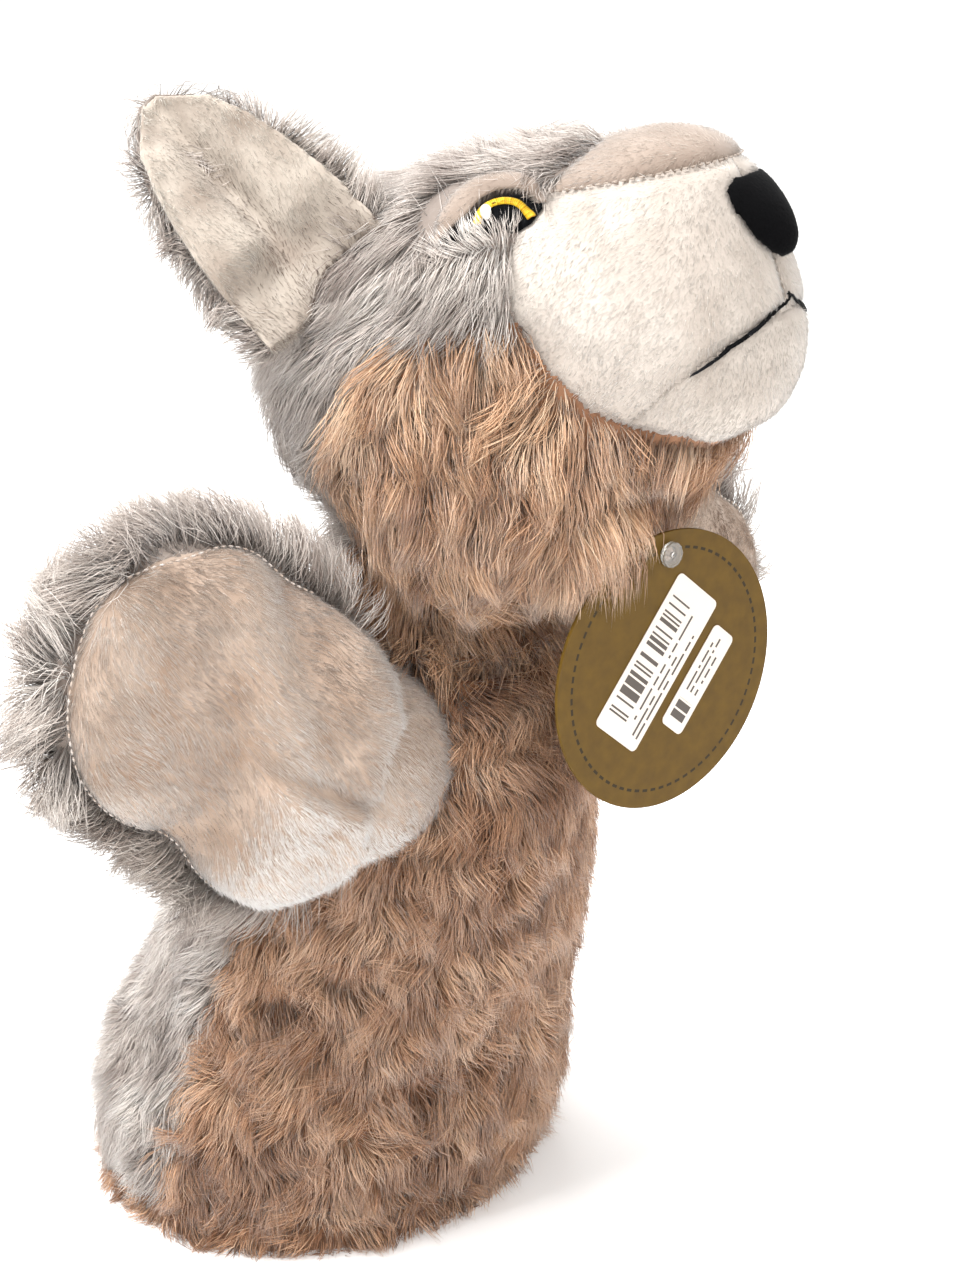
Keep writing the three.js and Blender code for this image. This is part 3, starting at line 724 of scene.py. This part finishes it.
class Spot:
    """A place on the head's skin with its own flat frame: u towards the nose, v up, n out of the skin."""

    def __init__(self, side):
        x, y, z = EYE_TARGET
        self.origin, self.n = head_point(SIGN[side] * x, y, z)
        front = HEAD.to_3x3() @ Vector((0, -1, 0))
        self.u = (front - self.n * front.dot(self.n)).normalized()
        self.v = self.n.cross(self.u)
        if self.v.z < 0:
            self.v = -self.v

    def place(self, u, v, height=0.0):
        """The point `height` mm above the skin at (u, v) mm."""
        foot = self.origin + (self.u * u + self.v * v) * MM
        start = self.origin + (self.u * u + self.v * v + self.n * EYE_REACH) * MM
        hit = FACE["tree"].ray_cast(start, -self.n)[0]
        return (foot if hit is None else hit) + self.n * (height * MM)

    def flat(self, points):
        """Points in metres as (u, v) mm, and their height."""
        offset = (points - np.array(self.origin)) / MM
        return tuple(offset @ np.array(axis) for axis in (self.u, self.v, self.n))


def find_face(skin):
    """Keeps the skin's surface and where the eyes lie on it, before it is cut into panels."""
    FACE["tree"] = tree_of(skin.data)
    for side in SIDES:
        FACE[side] = Spot(side)


def away_from_eyes(points):
    """0 where the fur would cover an eye and its lid, and 1 elsewhere."""
    clear = np.ones(len(points))
    for side in SIDES:
        u, v, n = FACE[side].flat(points)
        across = (u - EYE_BARE["u"]) / EYE_BARE["half_width"]
        up = (v - EYE_BARE["v"]) / EYE_BARE["half_height"]
        inside = across**2 + up**2 < 1
        clear[inside & (np.abs(n) < EYE_REACH)] = 0
    return clear


# ---- Head ----
NECK_HOLLOW = 24  # radius of the head's round hollow over the neck
HEAD_BORE = 14.5  # about its upright finger pocket
POCKET_END = 62  # from the neck or shoulder to past the end of its pocket


def head_outside(centres, outward):
    """The head's outer faces: all but those in the neck's hollow and in the bore of the finger pocket."""
    offset = (centres - np.array(NECK)) / MM
    hollow = np.linalg.norm(offset, axis=1) < NECK_HOLLOW
    bore = (np.hypot(offset[:, 0], offset[:, 1]) < HEAD_BORE) & (offset[:, 2] < POCKET_END)
    return ~hollow & ~bore


def parted(points, spread, y, z):
    """Directions of the head's frame that part to both sides of its middle."""
    lie = np.tile([0.0, y, z], (len(points), 1))
    lie[:, 0] = spread * np.sign(to_local(HEAD, points)[:, 0])
    return turned(HEAD, unit(lie))


def comb_head(points):
    """The head's fur is combed back from the muzzle and down over the cheeks."""
    return parted(points, 0.35, 1.0, -0.55) + 0.4 * vector_noise(points, 20, 21)


def comb_ruff(points):
    """The ruff hangs back and down from the chin."""
    hanging = np.array([0.0, 0.15, -1.0]) * 0.6
    return parted(points, 0.3, 0.5, -1.0) * 0.5 + hanging + 0.42 * vector_noise(points, 16, 31)


comb_muzzle = comb_along((0, 1, -0.25), 0.22, 14, 41, HEAD)

HEAD_PANELS = [
    Panel("head_crown", "head", "grey", LONG, comb_head, flat_tone(0.5, 14, 0.22), away_from_eyes),
    Panel("cheek_ruff_left", "head", "ruff", RUFF_COAT, comb_ruff, flat_tone(0.5, 10, 0.2)),
    Panel("cheek_ruff_right", "head", "ruff", RUFF_COAT, comb_ruff, flat_tone(0.5, 10, 0.2)),
    Panel("muzzle_bridge", "head", "taupe", PLUSH, comb_muzzle, flat_tone(0.5, 12, 0.1)),
    Panel("muzzle_left", "head", "cream", PLUSH, comb_muzzle, flat_tone(0.55, 14, 0.07)),
    Panel("muzzle_right", "head", "cream", PLUSH, comb_muzzle, flat_tone(0.55, 14, 0.07)),
    Panel("chin", "head", "cream", PLUSH, comb_muzzle, flat_tone(0.42, 14, 0.07)),
]

# Seams of the muzzle: a point in the head's frame, the axis that the seam runs about, its start and its end.
HEAD_SEAMS = {
    "bridge_seam": ((0, -79.5, 47), (0, -0.4, 0.9), (-1, 0.22, 0.1), (1, 0.22, 0.1)),
    "philtrum_seam": ((0, -78, 12), (1, 0, 0), (0, -1, 0.3), (0, -1, -0.3)),
}


def add_eye_fringe(crown):
    """Short fur under each eye, brushed up over its lower edge."""
    for number, side in enumerate(SIDES):
        spot = FACE[side]

        def below(points):
            u, v, n = spot.flat(points)
            near = (np.abs(u + 2.5) < 11.5) & (np.abs(v + 6.2) < 2.2) & (np.abs(n) < EYE_REACH)
            return near.astype(float)

        up = comb_along(spot.v * 0.9 - spot.u * 0.35, 0.45, 7, 63)
        add_coat(f"eye_fringe_{side}", crown, FRINGE, up, flat_tone(0.7), 640 + number, "grey", "head", below)


def add_brow_tuft(crown):
    """Longer fur standing up between the brows, where the crown meets the bridge of the nose."""
    def between(points):
        x, y, z = to_local(HEAD, points).T
        return np.exp(-((x / 13) ** 2) - ((y + 66) / 7) ** 2) * (z > 45)

    up = comb_along((0, 0.5, 1), 0.4, 10, 66, HEAD)
    add_coat("brow_tuft", crown, TUFT, up, flat_tone(0.5), 650, "grey", "head", between)


def add_tag_cover(ruff):
    """Long ruff fur that hangs over the top of the tag."""
    def above(points):
        x, y, z = to_local(TAG_FRAME, points).T
        return ((np.abs(x + 9) < 17) & (np.abs(y - 9) < 7) & (z > -6)).astype(float)

    over = comb_along((0, -0.1, -1), 0.3, 9, 69)
    add_coat("tag_cover", ruff, TAG_COVER, over, flat_tone(0.55), 660, "ruff", "head", above)


def make_head():
    skin = padded_skin("head_skin", [panel.node for panel in HEAD_PANELS] + ["head_filling"], 6)
    groove(skin, HEAD_PANELS)
    find_face(skin)
    for name, seam in HEAD_SEAMS.items():
        stitch_seam(name, FACE["tree"], HEAD, *seam, "taupe", "head", 0.7)
    pieces = split_panels(skin, HEAD_PANELS, head_outside)
    add_eye_fringe(pieces["head_crown"])
    add_brow_tuft(pieces["head_crown"])
    add_tag_cover(pieces["cheek_ruff_right"])
    dress(pieces, HEAD_PANELS, 100)


# ---- Eyes, mouth and nose ----
def curve_through(points):
    """A height for any u, on straight lines through (u, v) points."""
    us, vs = zip(*points)
    return lambda u: float(np.interp(u, us, vs))


EYE_TOP = curve_through(
    [(-13.7, -3.8), (-7.2, -0.4), (-4, 2.6), (-0.7, 4.1), (2.8, 4.2), (5.2, 2.8), (7.1, 0.4)]
)
EYE_FOOT = curve_through([(-13.7, -4.6), (-9, -4.4), (-4, -4.6), (1, -4.8), (4.5, -3.8), (7.1, -0.8)])
LID_TOP = curve_through(
    [(-14, -3.4), (-12, 2.6), (-9, 6.6), (-5, 9.6), (-0.4, 11), (4, 10.4), (6.6, 7.8), (8.2, 2)]
)
IRIS = dict(u=-0.4, v=-3.4, inner=4.3, outer=6.1)
GLINT = dict(u=-3.7, v=-0.5, half_width=1.0, half_height=1.9)
EYE_SPAN, PATCH_STEP = (-13.4, 7.0), 0.2
IRIS_ARC, IRIS_STEP = (8, 172), 1.9  # in degrees
LID_SPAN, LID_PUFF = (-13.9, 8.0), 2.3
STITCH_BOW = 0.3


def embroider(node, spot, ends, height, look, radius=0.15):
    """Satin stitches between pairs of (u, v) ends, each bowed up off the cloth."""
    steps = np.linspace(0, 1, 6)
    bows = height + STITCH_BOW * np.sin(math.pi * steps)
    lines = np.array([
        [spot.place(u0 + (u1 - u0) * t, v0 + (v1 - v0) * t, bow) for t, bow in zip(steps, bows)]
        for (u0, v0), (u1, v1) in ends
    ])
    radii = np.full(lines.shape[:2], radius * MM)
    add_strands(f"{node}_stitches", lines, radii, np.arange(len(lines)) * 7 % TONES, look, "head", node)


def make_eye(side):
    """A black patch, the iris's gold arc over it and a white glint, then the lid."""
    spot = FACE[side]
    patch = [((u, EYE_FOOT(u)), (u + 0.3, EYE_TOP(u + 0.3))) for u in np.arange(*EYE_SPAN, PATCH_STEP)]
    embroider(f"eye_patch_{side}", spot, patch, 0.5, "black_thread", 0.17)
    arc = []
    for turn in np.radians(np.arange(*IRIS_ARC, IRIS_STEP)):
        across, up = math.cos(turn), math.sin(turn)
        arc.append([(IRIS["u"] + r * across, IRIS["v"] + r * up) for r in (IRIS["inner"], IRIS["outer"])])
    embroider(f"iris_{side}", spot, arc, 1.0, "gold_thread")
    u, v, spots = GLINT["u"], GLINT["v"], np.arange(-0.9, 0.95, 0.18)
    reach = [GLINT["half_height"] * math.sqrt(1 - (s / GLINT["half_width"]) ** 2) for s in spots]
    dot = [((u + s, v - r), (u + s + 0.1, v + r)) for s, r in zip(spots, reach)]
    embroider(f"eye_glint_{side}", spot, dot, 1.45, "white_thread")
    make_lid(side)


def make_lid(side):
    """The padded plush lid: a puffed crescent from the eye's top line to the lid's own outline."""
    spot = FACE[side]
    columns, rows = 44, 12
    shape = bmesh.new()
    grid = []
    for i in range(columns + 1):
        u = LID_SPAN[0] + (LID_SPAN[1] - LID_SPAN[0]) * i / columns
        low, high = EYE_TOP(min(u, EYE_SPAN[1])) + 0.1, LID_TOP(u)
        edge = math.sin(math.pi * min(1, (i + 0.5) / (columns + 1))) ** 0.5
        column = []
        for k in range(rows + 1):
            t = k / rows
            puff = 0.5 + LID_PUFF * edge * math.sin(math.pi * min(1, 0.12 + t * 0.88)) ** 0.6
            column.append(shape.verts.new(spot.place(u, low + (high - low) * t, puff)))
        grid.append(column)
    for i in range(columns):
        for k in range(rows):
            shape.faces.new((grid[i][k], grid[i + 1][k], grid[i + 1][k + 1], grid[i][k + 1]))
    bmesh.ops.recalc_face_normals(shape, faces=shape.faces)
    mesh = new_mesh(f"eyelid_{side}_fabric", shape)
    if Vector(mesh.polygons[len(mesh.polygons) // 2].normal).dot(spot.n) < 0:
        mesh.flip_normals()
    lid = add_object(f"eyelid_{side}_fabric", mesh)
    lid["outer_faces"] = len(mesh.polygons)
    apply_modifier(lid, "SOLIDIFY", thickness=0.8 * MM, offset=-1)
    shade_smooth(lid)
    add_coat(f"eyelid_{side}_nap", lid, LID_PLUSH, comb_muzzle, flat_tone(0.5, 5, 0.2), 600, "taupe", "head")
    finish_piece(lid, LOOKS["taupe"].backing, "head", "taupe_plush", f"eyelid_{side}")


SMILE = [(21, -86, 4), (16, -92, 5), (9, -98, 5), (0, -101, 8)]
SMILE_STITCHES = 64


def make_mouth():
    """A black stitched smile, thick in the middle of each side, thin at its ends."""
    outline = [Vector(p) for p in SMILE] + [Vector((-x, y, z)) for x, y, z in SMILE[-2::-1]]
    stitches, radii = [], []
    for number in range(SMILE_STITCHES):
        share = number / SMILE_STITCHES * (len(outline) - 1)
        step = int(share)
        here = outline[step].lerp(outline[step + 1], share - step)
        there = here + (outline[step + 1] - outline[step]).normalized() * 2.0
        lift = 0.3 + 0.9 * math.exp(-((here.x / 2.5) ** 2))
        stitch = []
        for t in (0, 0.3, 0.6, 1):
            hit, normal = head_point(*here.lerp(there, t))
            stitch.append(hit + normal * ((lift + 0.25 * math.sin(math.pi * t)) * MM))
        stitches.append(stitch)
        side = abs(2 * number / SMILE_STITCHES - 1)
        swell = 0.25 + 0.3 * math.sin(math.pi * min(1, side)) ** 0.7
        radii.append([swell * MM * (0.5 + 0.5 * math.sin(math.pi * t)) for t in (0.1, 0.4, 0.7, 1)])
    add_strands("mouth_stitches", np.array(stitches), np.array(radii), np.arange(SMILE_STITCHES) % TONES,
                "black_thread", "head", "mouth_stitch")


def make_nose():
    nose = soft_copy("nose", "head", "black", 1.0, 5)
    add_coat("nose_nap", nose, VELVET, comb_muzzle, flat_tone(0.35), 620, "black", "head")


# ---- Sleeve ----
# Upright folds: how many round the sleeve, their twist in a mm of height, where they start, how deep.
SLEEVE_FOLDS = [(3, 0.03, 0.6, 1.6), (5, -0.05, 2, 1.0)]
SLEEVE_MIDDLE_BACK = 0.012
SLEEVE_MIDDLE_LEAN = 0.03
SLEEVE_TONE = flat_tone(0.5, 12, 0.25)
SLEEVE_PANELS = [
    Panel("body_front", "torso", "tan", BODY_COAT, comb_along((0, 0.1, -1), 0.75, 12, 51), SLEEVE_TONE),
    Panel("body_back", "torso", "grey", BODY_COAT, comb_along((0, 0.25, -1), 0.5, 16, 61), SLEEVE_TONE),
]


def sleeve_outside(centres, outward):
    """The sleeve's outer faces look away from its middle line, which leans forward as it rises."""
    low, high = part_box("body_front")
    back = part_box("body_back")[1]
    share = (centres[:, 2] - low.z) / (high.z - low.z)
    middle = np.zeros_like(centres)
    middle[:, 1] = (low.y + back.y) / 2 + SLEEVE_MIDDLE_BACK - SLEEVE_MIDDLE_LEAN * share
    return ((centres - middle) * [1, 1, 0] * outward).sum(1) > 0


def fold_sleeve(skin):
    """Soft upright folds and a slack waist under the arms."""
    points, normals = vertices_of(skin), normals_of(skin)
    height = points[:, 2] / MM
    angle = np.arctan2(points[:, 0], -points[:, 1])
    folds = sum(
        np.sin(count * angle + twist * height + start) * depth for count, twist, start, depth in SLEEVE_FOLDS
    )
    waves = 1.2 * smooth_noise(points, 34, 77)
    sag = 1.5 * np.sin(height / 130 * 2 * math.pi + 0.6)
    fade = smoothstep(0, 25, height) * (1 - smoothstep(105, 128, height))
    flat = unit(normals * [1, 1, 0.3])
    set_vertices(skin, points + flat * ((folds + waves + sag) * fade * MM)[:, None])


def make_sleeve():
    skin = copy_nodes("sleeve_skin", [panel.node for panel in SLEEVE_PANELS])
    remesh(skin, 1.7)
    smooth(skin, 24)
    fold_sleeve(skin)
    groove(skin, SLEEVE_PANELS, 1.2, 2)
    dress(split_panels(skin, SLEEVE_PANELS, sleeve_outside), SLEEVE_PANELS, 200)


# ---- Arms ----
ARM_SOCKET = 24  # radius of the arm's round socket over the shoulder
ARM_BORE = 11
ARM_SEAM = -4.5  # where plush meets fur, in front of the arm's middle
ARM_SEAM_MIDDLE = 32  # from the shoulder to the middle of the palm


def arm_local(side, points):
    """Points in mm in an arm's own frame, as if it were the left one."""
    return to_local(ARM[side], points) * [SIGN[side], 1, 1]


def arm_outside(side):
    """An arm's outer faces: all but those in its round socket and in the bore of its finger pocket."""
    def outside(centres, outward):
        local = to_local(ARM[side], centres)
        socket = np.linalg.norm(local, axis=1) < ARM_SOCKET
        bore = (np.hypot(local[:, 1], local[:, 2]) < ARM_BORE) & (np.abs(local[:, 0]) < POCKET_END)
        return ~socket & ~bore
    return outside


def comb_arm(side):
    """The arm's back fur points away from the palm and out to the tip."""
    def comb(points):
        local = arm_local(side, points)
        away = np.stack([np.full(len(points), 0.8), np.full(len(points), 0.15), local[:, 2] * 0.02], 1)
        return turned(ARM[side], away * [SIGN[side], 1, 1]) + 0.5 * vector_noise(points, 15, 71)
    return comb


def comb_palm(side):
    """The palm's nap lies inward and down."""
    return comb_along((-0.9 * SIGN[side], 0, -0.5), 0.22, 16, 81, ARM[side])


def palm_layout(local):
    """The palm's slanting folds as a wave, the mm above its crease, and 1 near the shoulder to 0 far off."""
    x, _, z = local.T
    wave = np.sin((x * 0.9 - z * 0.35) / 13 * math.pi + 0.8)
    return wave, z - 0.12 * (x - 20), 1 - smoothstep(27, 37, x)


def below_crease(above):
    return 1 - smoothstep(-8, -3.5, above)


def palm_tone_with_painted_light(side):
    """The palm's plush tone, mostly painted light: painted warm shade over the palm, painted highlights along
    its fold ridges and the brightest painted highlight on the plump lobe at its lower inner corner, with a
    little random tone.
    """
    def tone(points):
        wave, above, inner = palm_layout(arm_local(side, points))
        # painted highlight on the lobe and the fold ridges, painted shade in the fold hollows
        return 0.42 + 0.7 * below_crease(above) * inner + 0.16 * wave + 0.07 * smooth_noise(points, 14, 3)
    return tone


def fold_palm(skin, side):
    """Soft slanting folds across the palm, and a plump lobe at its lower inner corner under a crease."""
    points, normals = vertices_of(skin), normals_of(skin)
    wave, above, inner = palm_layout(arm_local(side, points))
    facing = smoothstep(0.1, 0.8, -(normals @ np.array(ARM[side])[:3, 1]))
    folds = 1.3 * wave + 0.6 * smooth_noise(points, 16, 91)
    lobe = 1.8 * below_crease(above) * inner
    crease = -2.4 * np.exp(-(((above + 3) / 2.2) ** 2)) * inner
    set_vertices(skin, points + normals * ((folds + lobe + crease) * facing * MM)[:, None])


def make_arm(side):
    body = f"arm_{side}"
    panels = [
        Panel(f"arm_back_{side}", body, "grey", SHAGGY, comb_arm(side), flat_tone(0.5, 10, 0.2)),
        # the palm's tone carries painted shade and painted highlights
        Panel(f"palm_{side}", body, "palm", PALM_PLUSH, comb_palm(side), palm_tone_with_painted_light(side)),
    ]
    skin = padded_skin(f"arm_skin_{side}", [panel.node for panel in panels] + [f"arm_filling_{side}"], 5)
    fold_palm(skin, side)
    groove(skin, panels, 1.0, 1.6)
    ends = [(-0.25 * SIGN[side], 0, SIGN[side] * z) for z in (1, -1)]
    centre = (ARM_SEAM_MIDDLE * SIGN[side], ARM_SEAM, 0)
    tree = tree_of(skin.data)
    stitch_seam(f"palm_seam_{side}", tree, ARM[side], centre, (0, 1, 0), *ends, "palm", body, 0.8)
    dress(split_panels(skin, panels, arm_outside(side)), panels, 300)


# ---- Trim, linings and filling ----
def make_trim():
    """The hem, neck and shoulders: cloth with fur or plush of their own."""
    down = comb_along((0, 0, -1), 0.35, 22, 5)
    hem = soft_copy("hem_binding", "torso", "tan", 1.3, 6)
    add_coat("hem_fur", hem, HEM_COAT, down, flat_tone(0.45), 500, "tan", "torso")
    cuff = soft_copy("neck_cuff", "torso", "ruff", 1.0, 4)
    behind = lambda points: smoothstep(4, 12, (points[:, 1] - NECK.y) / MM)
    in_front = lambda points: 1 - behind(points)
    add_coat("neck_fur", cuff, NECK_COAT, down, flat_tone(0.4), 510, "ruff", "torso", in_front)
    add_coat("nape_fur", cuff, NECK_COAT, down, flat_tone(0.45), 511, "grey", "torso", behind)
    for number, side in enumerate(SIDES):
        front = soft_copy(f"shoulder_front_{side}", "torso", "palm", 0.9, 4)
        # the shoulder's front plush carries on the palm's painted shade and highlights
        add_coat(f"shoulder_front_{side}_nap", front, PALM_PLUSH, comb_palm(side), palm_tone_with_painted_light(side),
                 520 + number, "palm", "torso")
        back = soft_copy(f"shoulder_back_{side}", "torso", "grey", 0.9, 4)
        add_coat(f"shoulder_back_{side}_fur", back, LONG, comb_arm(side), flat_tone(0.45), 530 + number,
                 "grey", "torso")


def make_inside():
    """Linings, finger pockets and filling, as soft copies of their nodes."""
    soft_copy("hand_lining", "torso", "lining", 1.3, 5, 0.5)
    soft_copy("neck_lining", "neck", "lining", 0.8, 4, 0.4)
    soft_copy("head_finger_pocket", "head", "lining", 0.7, 3, 0.3)
    soft_copy("head_filling", "head", "filling", 2.5, 3, -0.5)
    for side in SIDES:
        soft_copy(f"arm_finger_pocket_{side}", f"arm_{side}", "lining", 0.7, 3, 0.3)
        soft_copy(f"arm_filling_{side}", f"arm_{side}", "filling", 2.0, 3, -0.4)


# ---- Ears ----
EAR_BASE = (35.5, -33, 60)  # the left ear's root, in the head's own frame
EAR_SPLAY = 12
EAR_FACE = {"left": 74, "right": 50}
EAR_FOLD = {"left": 92, "right": 2}


class Ear:
    """An ear's own frame: root on X, tip towards Z, plush side towards -Y; the right one mirrored."""

    def __init__(self, side):
        turn = Matrix.Translation(Vector(EAR_BASE) * MM)
        for angle, axis in ((EAR_FACE[side], "Z"), (EAR_SPLAY, "Y"), (EAR_FOLD[side], "X")):
            turn = turn @ Matrix.Rotation(math.radians(angle), 4, axis)
        self.frame = HEAD @ Matrix.Diagonal((SIGN[side], 1, 1, 1)) @ turn

    def fold(self, lining):
        """Two plump flaps with a valley between them, from the root nearly to the tip."""
        points = vertices_of(lining)
        x, _, z = to_local(self.frame, points).T
        height = np.where(x > 0, 5.5, 3.5) * smoothstep(3, 12, z) * (1 - smoothstep(32, 46, z))
        swell = height * (1 - np.exp(-((x / 3.2) ** 2))) * (1 - 0.6 * smoothstep(9, 17, np.abs(x)))
        front = turned(self.frame, np.array([[0.0, -1.0, 0.0]]))
        set_vertices(lining, points + front * (swell * MM)[:, None])

    def shade(self, points):
        """The lining's tone: painted shade, darker in the valley and at the root, with a little random tone.
        """
        x, _, z = to_local(self.frame, points).T
        valley = np.exp(-((x / 3.5) ** 2)) * (1 - smoothstep(30, 44, z))
        root = 1 - smoothstep(2, 16, z)
        return 0.7 - 0.7 * valley - 0.5 * root + 0.07 * smooth_noise(points, 14, 3)

    def comb_fringe(self, points):
        """The back's fur lies outward over the ear's edge and away from the plush."""
        x = to_local(self.frame, points)[:, 0]
        lie = np.stack([x / 12, np.full(len(x), 0.55), np.full(len(x), 0.1)], 1)
        return turned(self.frame, lie) + 0.35 * vector_noise(points, 14, 45)


def make_ears():
    for number, side in enumerate(SIDES):
        body = f"ear_{side}"
        ear = Ear(side)
        inward = comb_along((0, 0, -1), 0.3, 12, 47, ear.frame)
        lining = soft_copy(f"ear_lining_{side}", body, "ear", 0.8, 4)
        ear.fold(lining)
        back = soft_copy(f"ear_back_{side}", body, "grey", 0.8, 4)
        # the lining's nap gets painted shade in its valley and at its root
        add_coat(f"ear_lining_{side}_nap", lining, PLUSH, inward, ear.shade, 400 + number, "ear", body)
        add_coat(f"ear_back_{side}_fur", back, EAR_COAT, ear.comb_fringe, flat_tone(0.5), 410 + number,
                 "grey", body)


# ---- Hang tag ----
TAG_RADIUS, TAG_MARGIN, TAG_HOLE, TAG_THICKNESS = 29, 4.5, 1.6, 0.8
TAG_RING = 25.4  # radius of the printed ring
TAG_DASHES = 70
TAG_FACE = math.radians(-20)
TAG_FRAME = (
    Matrix.Translation(Vector(JOINTS["tag_swing"]["pos_m"]))
    @ Matrix.Rotation(TAG_FACE, 4, "Z")
    @ Matrix.Rotation(math.pi / 2, 4, "X")
)
TAG_MIDDLE = TAG_FRAME @ Matrix.Translation(Vector((0, TAG_MARGIN - TAG_RADIUS, 0)) * MM)
LABEL_SLANT = math.radians(50)
LABEL_THICKNESS = 0.16
# A label's width, height and place on the card, corners of its bars, and lines as (foot, left, right).
LABELS = {
    "large": (35, 14, 0, 3.5, (-14, -0.5), (13, 5.6), [(-2.6, -12, 12), (-4.4, -15, 4), (-5.8, -15, 9)]),
    "small": (23, 7, 2.5, -9.5, (-10, -2.2), (-5, 2.2), [(1.2, -3, 8), (-0.2, -3, 9.5), (-1.8, -3, 6)]),
}


def flat_shape(name, outlines, thickness, bevel, place):
    """A thin card cut to closed outlines in mm; the first is its edge and the rest are holes."""
    curve = bpy.data.curves.new(name, "CURVE")
    curve.dimensions = "2D"
    curve.fill_mode = "BOTH"
    curve.extrude = (thickness / 2 - bevel) * MM
    curve.bevel_depth = bevel * MM
    for outline in outlines:
        spline = curve.splines.new("POLY")
        spline.points.add(len(outline) - 1)
        for point, (x, y) in zip(spline.points, outline):
            point.co = (x * MM, y * MM, 0, 1)
        spline.use_cyclic_u = True
    card = add_object(name, curve)
    bpy.context.view_layer.update()
    mesh = bpy.data.meshes.new_from_object(card.evaluated_get(bpy.context.evaluated_depsgraph_get()))
    bpy.data.objects.remove(card)
    shape = bmesh.new()
    shape.from_mesh(mesh)
    bmesh.ops.remove_doubles(shape, verts=shape.verts, dist=0.001 * MM)
    shape.to_mesh(mesh)
    shape.free()
    piece = add_object(name, mesh)
    piece.matrix_world = place @ Matrix.Translation(Vector((0, 0, thickness / 2 * MM)))
    return piece


def circle(radius, x=0.0, y=0.0, count=96):
    turns = [2 * math.pi * k / count for k in range(count)]
    return [(x + radius * math.cos(a), y + radius * math.sin(a)) for a in turns]


def rounded(width, height, corner=1.2):
    """A rectangle's outline with round corners."""
    outline = []
    for quarter, (sx, sy) in enumerate(((1, 1), (-1, 1), (-1, -1), (1, -1))):
        for step in range(7):
            a = math.pi / 2 * (quarter + step / 6)
            outline.append((sx * (width / 2 - corner) + corner * math.cos(a),
                            sy * (height / 2 - corner) + corner * math.sin(a)))
    return outline


def card_material():
    """Olive-brown printed card with a dashed ring near its edge."""
    shader = Shader("tag_card_print")
    maths = shader.maths
    x, y, _ = shader.add("SeparateXYZ", {0: shader.place()})
    radius = maths("SQRT", maths("ADD", maths("MULTIPLY", x, x), maths("MULTIPLY", y, y)))
    on_ring = maths("LESS_THAN", maths("ABSOLUTE", maths("SUBTRACT", radius, TAG_RING * MM)), 0.3 * MM)
    dash = maths("GREATER_THAN", maths("SINE", maths("MULTIPLY", maths("ARCTAN2", y, x), TAG_DASHES)), -0.3)
    card = shader.ramp(shader.noise(3, 5), [(0.3, srgb(84, 61, 8)), (0.7, srgb(97, 72, 12))])
    printed = shader.mix(maths("MULTIPLY", on_ring, dash), card, (*srgb(44, 34, 10), 1))
    return shader.surface(Base_Color=printed, Roughness=0.6, Specular_IOR_Level=0.25)


def label_material(name, bars_from, bars_to, lines):
    """Coated white paper with plain upright bars and, below them, plain printed lines; sizes in mm."""
    shader = Shader(name)
    maths = shader.maths
    x, y, _ = shader.add("SeparateXYZ", {0: shader.place()})

    def within(value, low, high):
        return maths("MULTIPLY", maths("GREATER_THAN", value, low * MM), maths("LESS_THAN", value, high * MM))

    def stripes(value, pitch, share):
        step = maths("SNAP", value, pitch * MM)
        return maths("LESS_THAN", shader.add("TexWhiteNoise", {"W": step}, noise_dimensions="1D")[0], share)

    (x0, y0), (x1, y1) = bars_from, bars_to
    ink = maths("MULTIPLY", maths("MULTIPLY", within(x, x0, x1), within(y, y0, y1)), stripes(x, 0.42, 0.5))
    for low, left, right in lines:
        row = maths("MULTIPLY", within(y, low, low + 0.55), within(x, left, right))
        ink = maths("MAXIMUM", ink, maths("MULTIPLY", row, stripes(maths("ADD", x, low * 3 * MM), 0.7, 0.78)))
    printed = shader.mix(ink, (*srgb(228, 216, 205), 1), (*srgb(70, 60, 52), 1))
    return shader.surface(Base_Color=printed, Roughness=0.35)


def make_tag():
    """The card, its two labels and, on its CAD node, the clear barb that holds it."""
    outlines = [circle(TAG_RADIUS), circle(TAG_HOLE, 0, TAG_RADIUS - TAG_MARGIN, 24)]
    card = flat_shape("tag_card_disc", outlines, TAG_THICKNESS, 0.12, TAG_MIDDLE)
    finish_piece(card, card_material(), "tag", "tag_card", "tag_card")
    for size, (width, height, x, y, *marks) in LABELS.items():
        lift = (TAG_THICKNESS + 0.05) * MM
        place = TAG_MIDDLE @ Matrix.Rotation(LABEL_SLANT, 4, "Z") @ Matrix.Translation((x * MM, y * MM, lift))
        label = flat_shape(f"tag_label_{size}_paper", [rounded(width, height)], LABEL_THICKNESS, 0.03, place)
        paper = label_material(f"{size}_label_print", *marks)
        finish_piece(label, paper, "tag", "label_paper", f"tag_label_{size}")
    barb = frame["nodes"]["tag_barb"]
    barb.data.materials.clear()
    barb.data.materials.append(Shader("clear_plastic").surface(
        Base_Color=(0.9, 0.88, 0.84, 1), Roughness=0.12, IOR=1.45, Transmission_Weight=0.9,
    ))


add_camera()
add_stage()
make_head()
make_sleeve()
for arm_side in SIDES:
    make_arm(arm_side)
make_trim()
make_inside()
make_ears()
for eye_side in SIDES:
    make_eye(eye_side)
make_mouth()
make_nose()
make_tag()
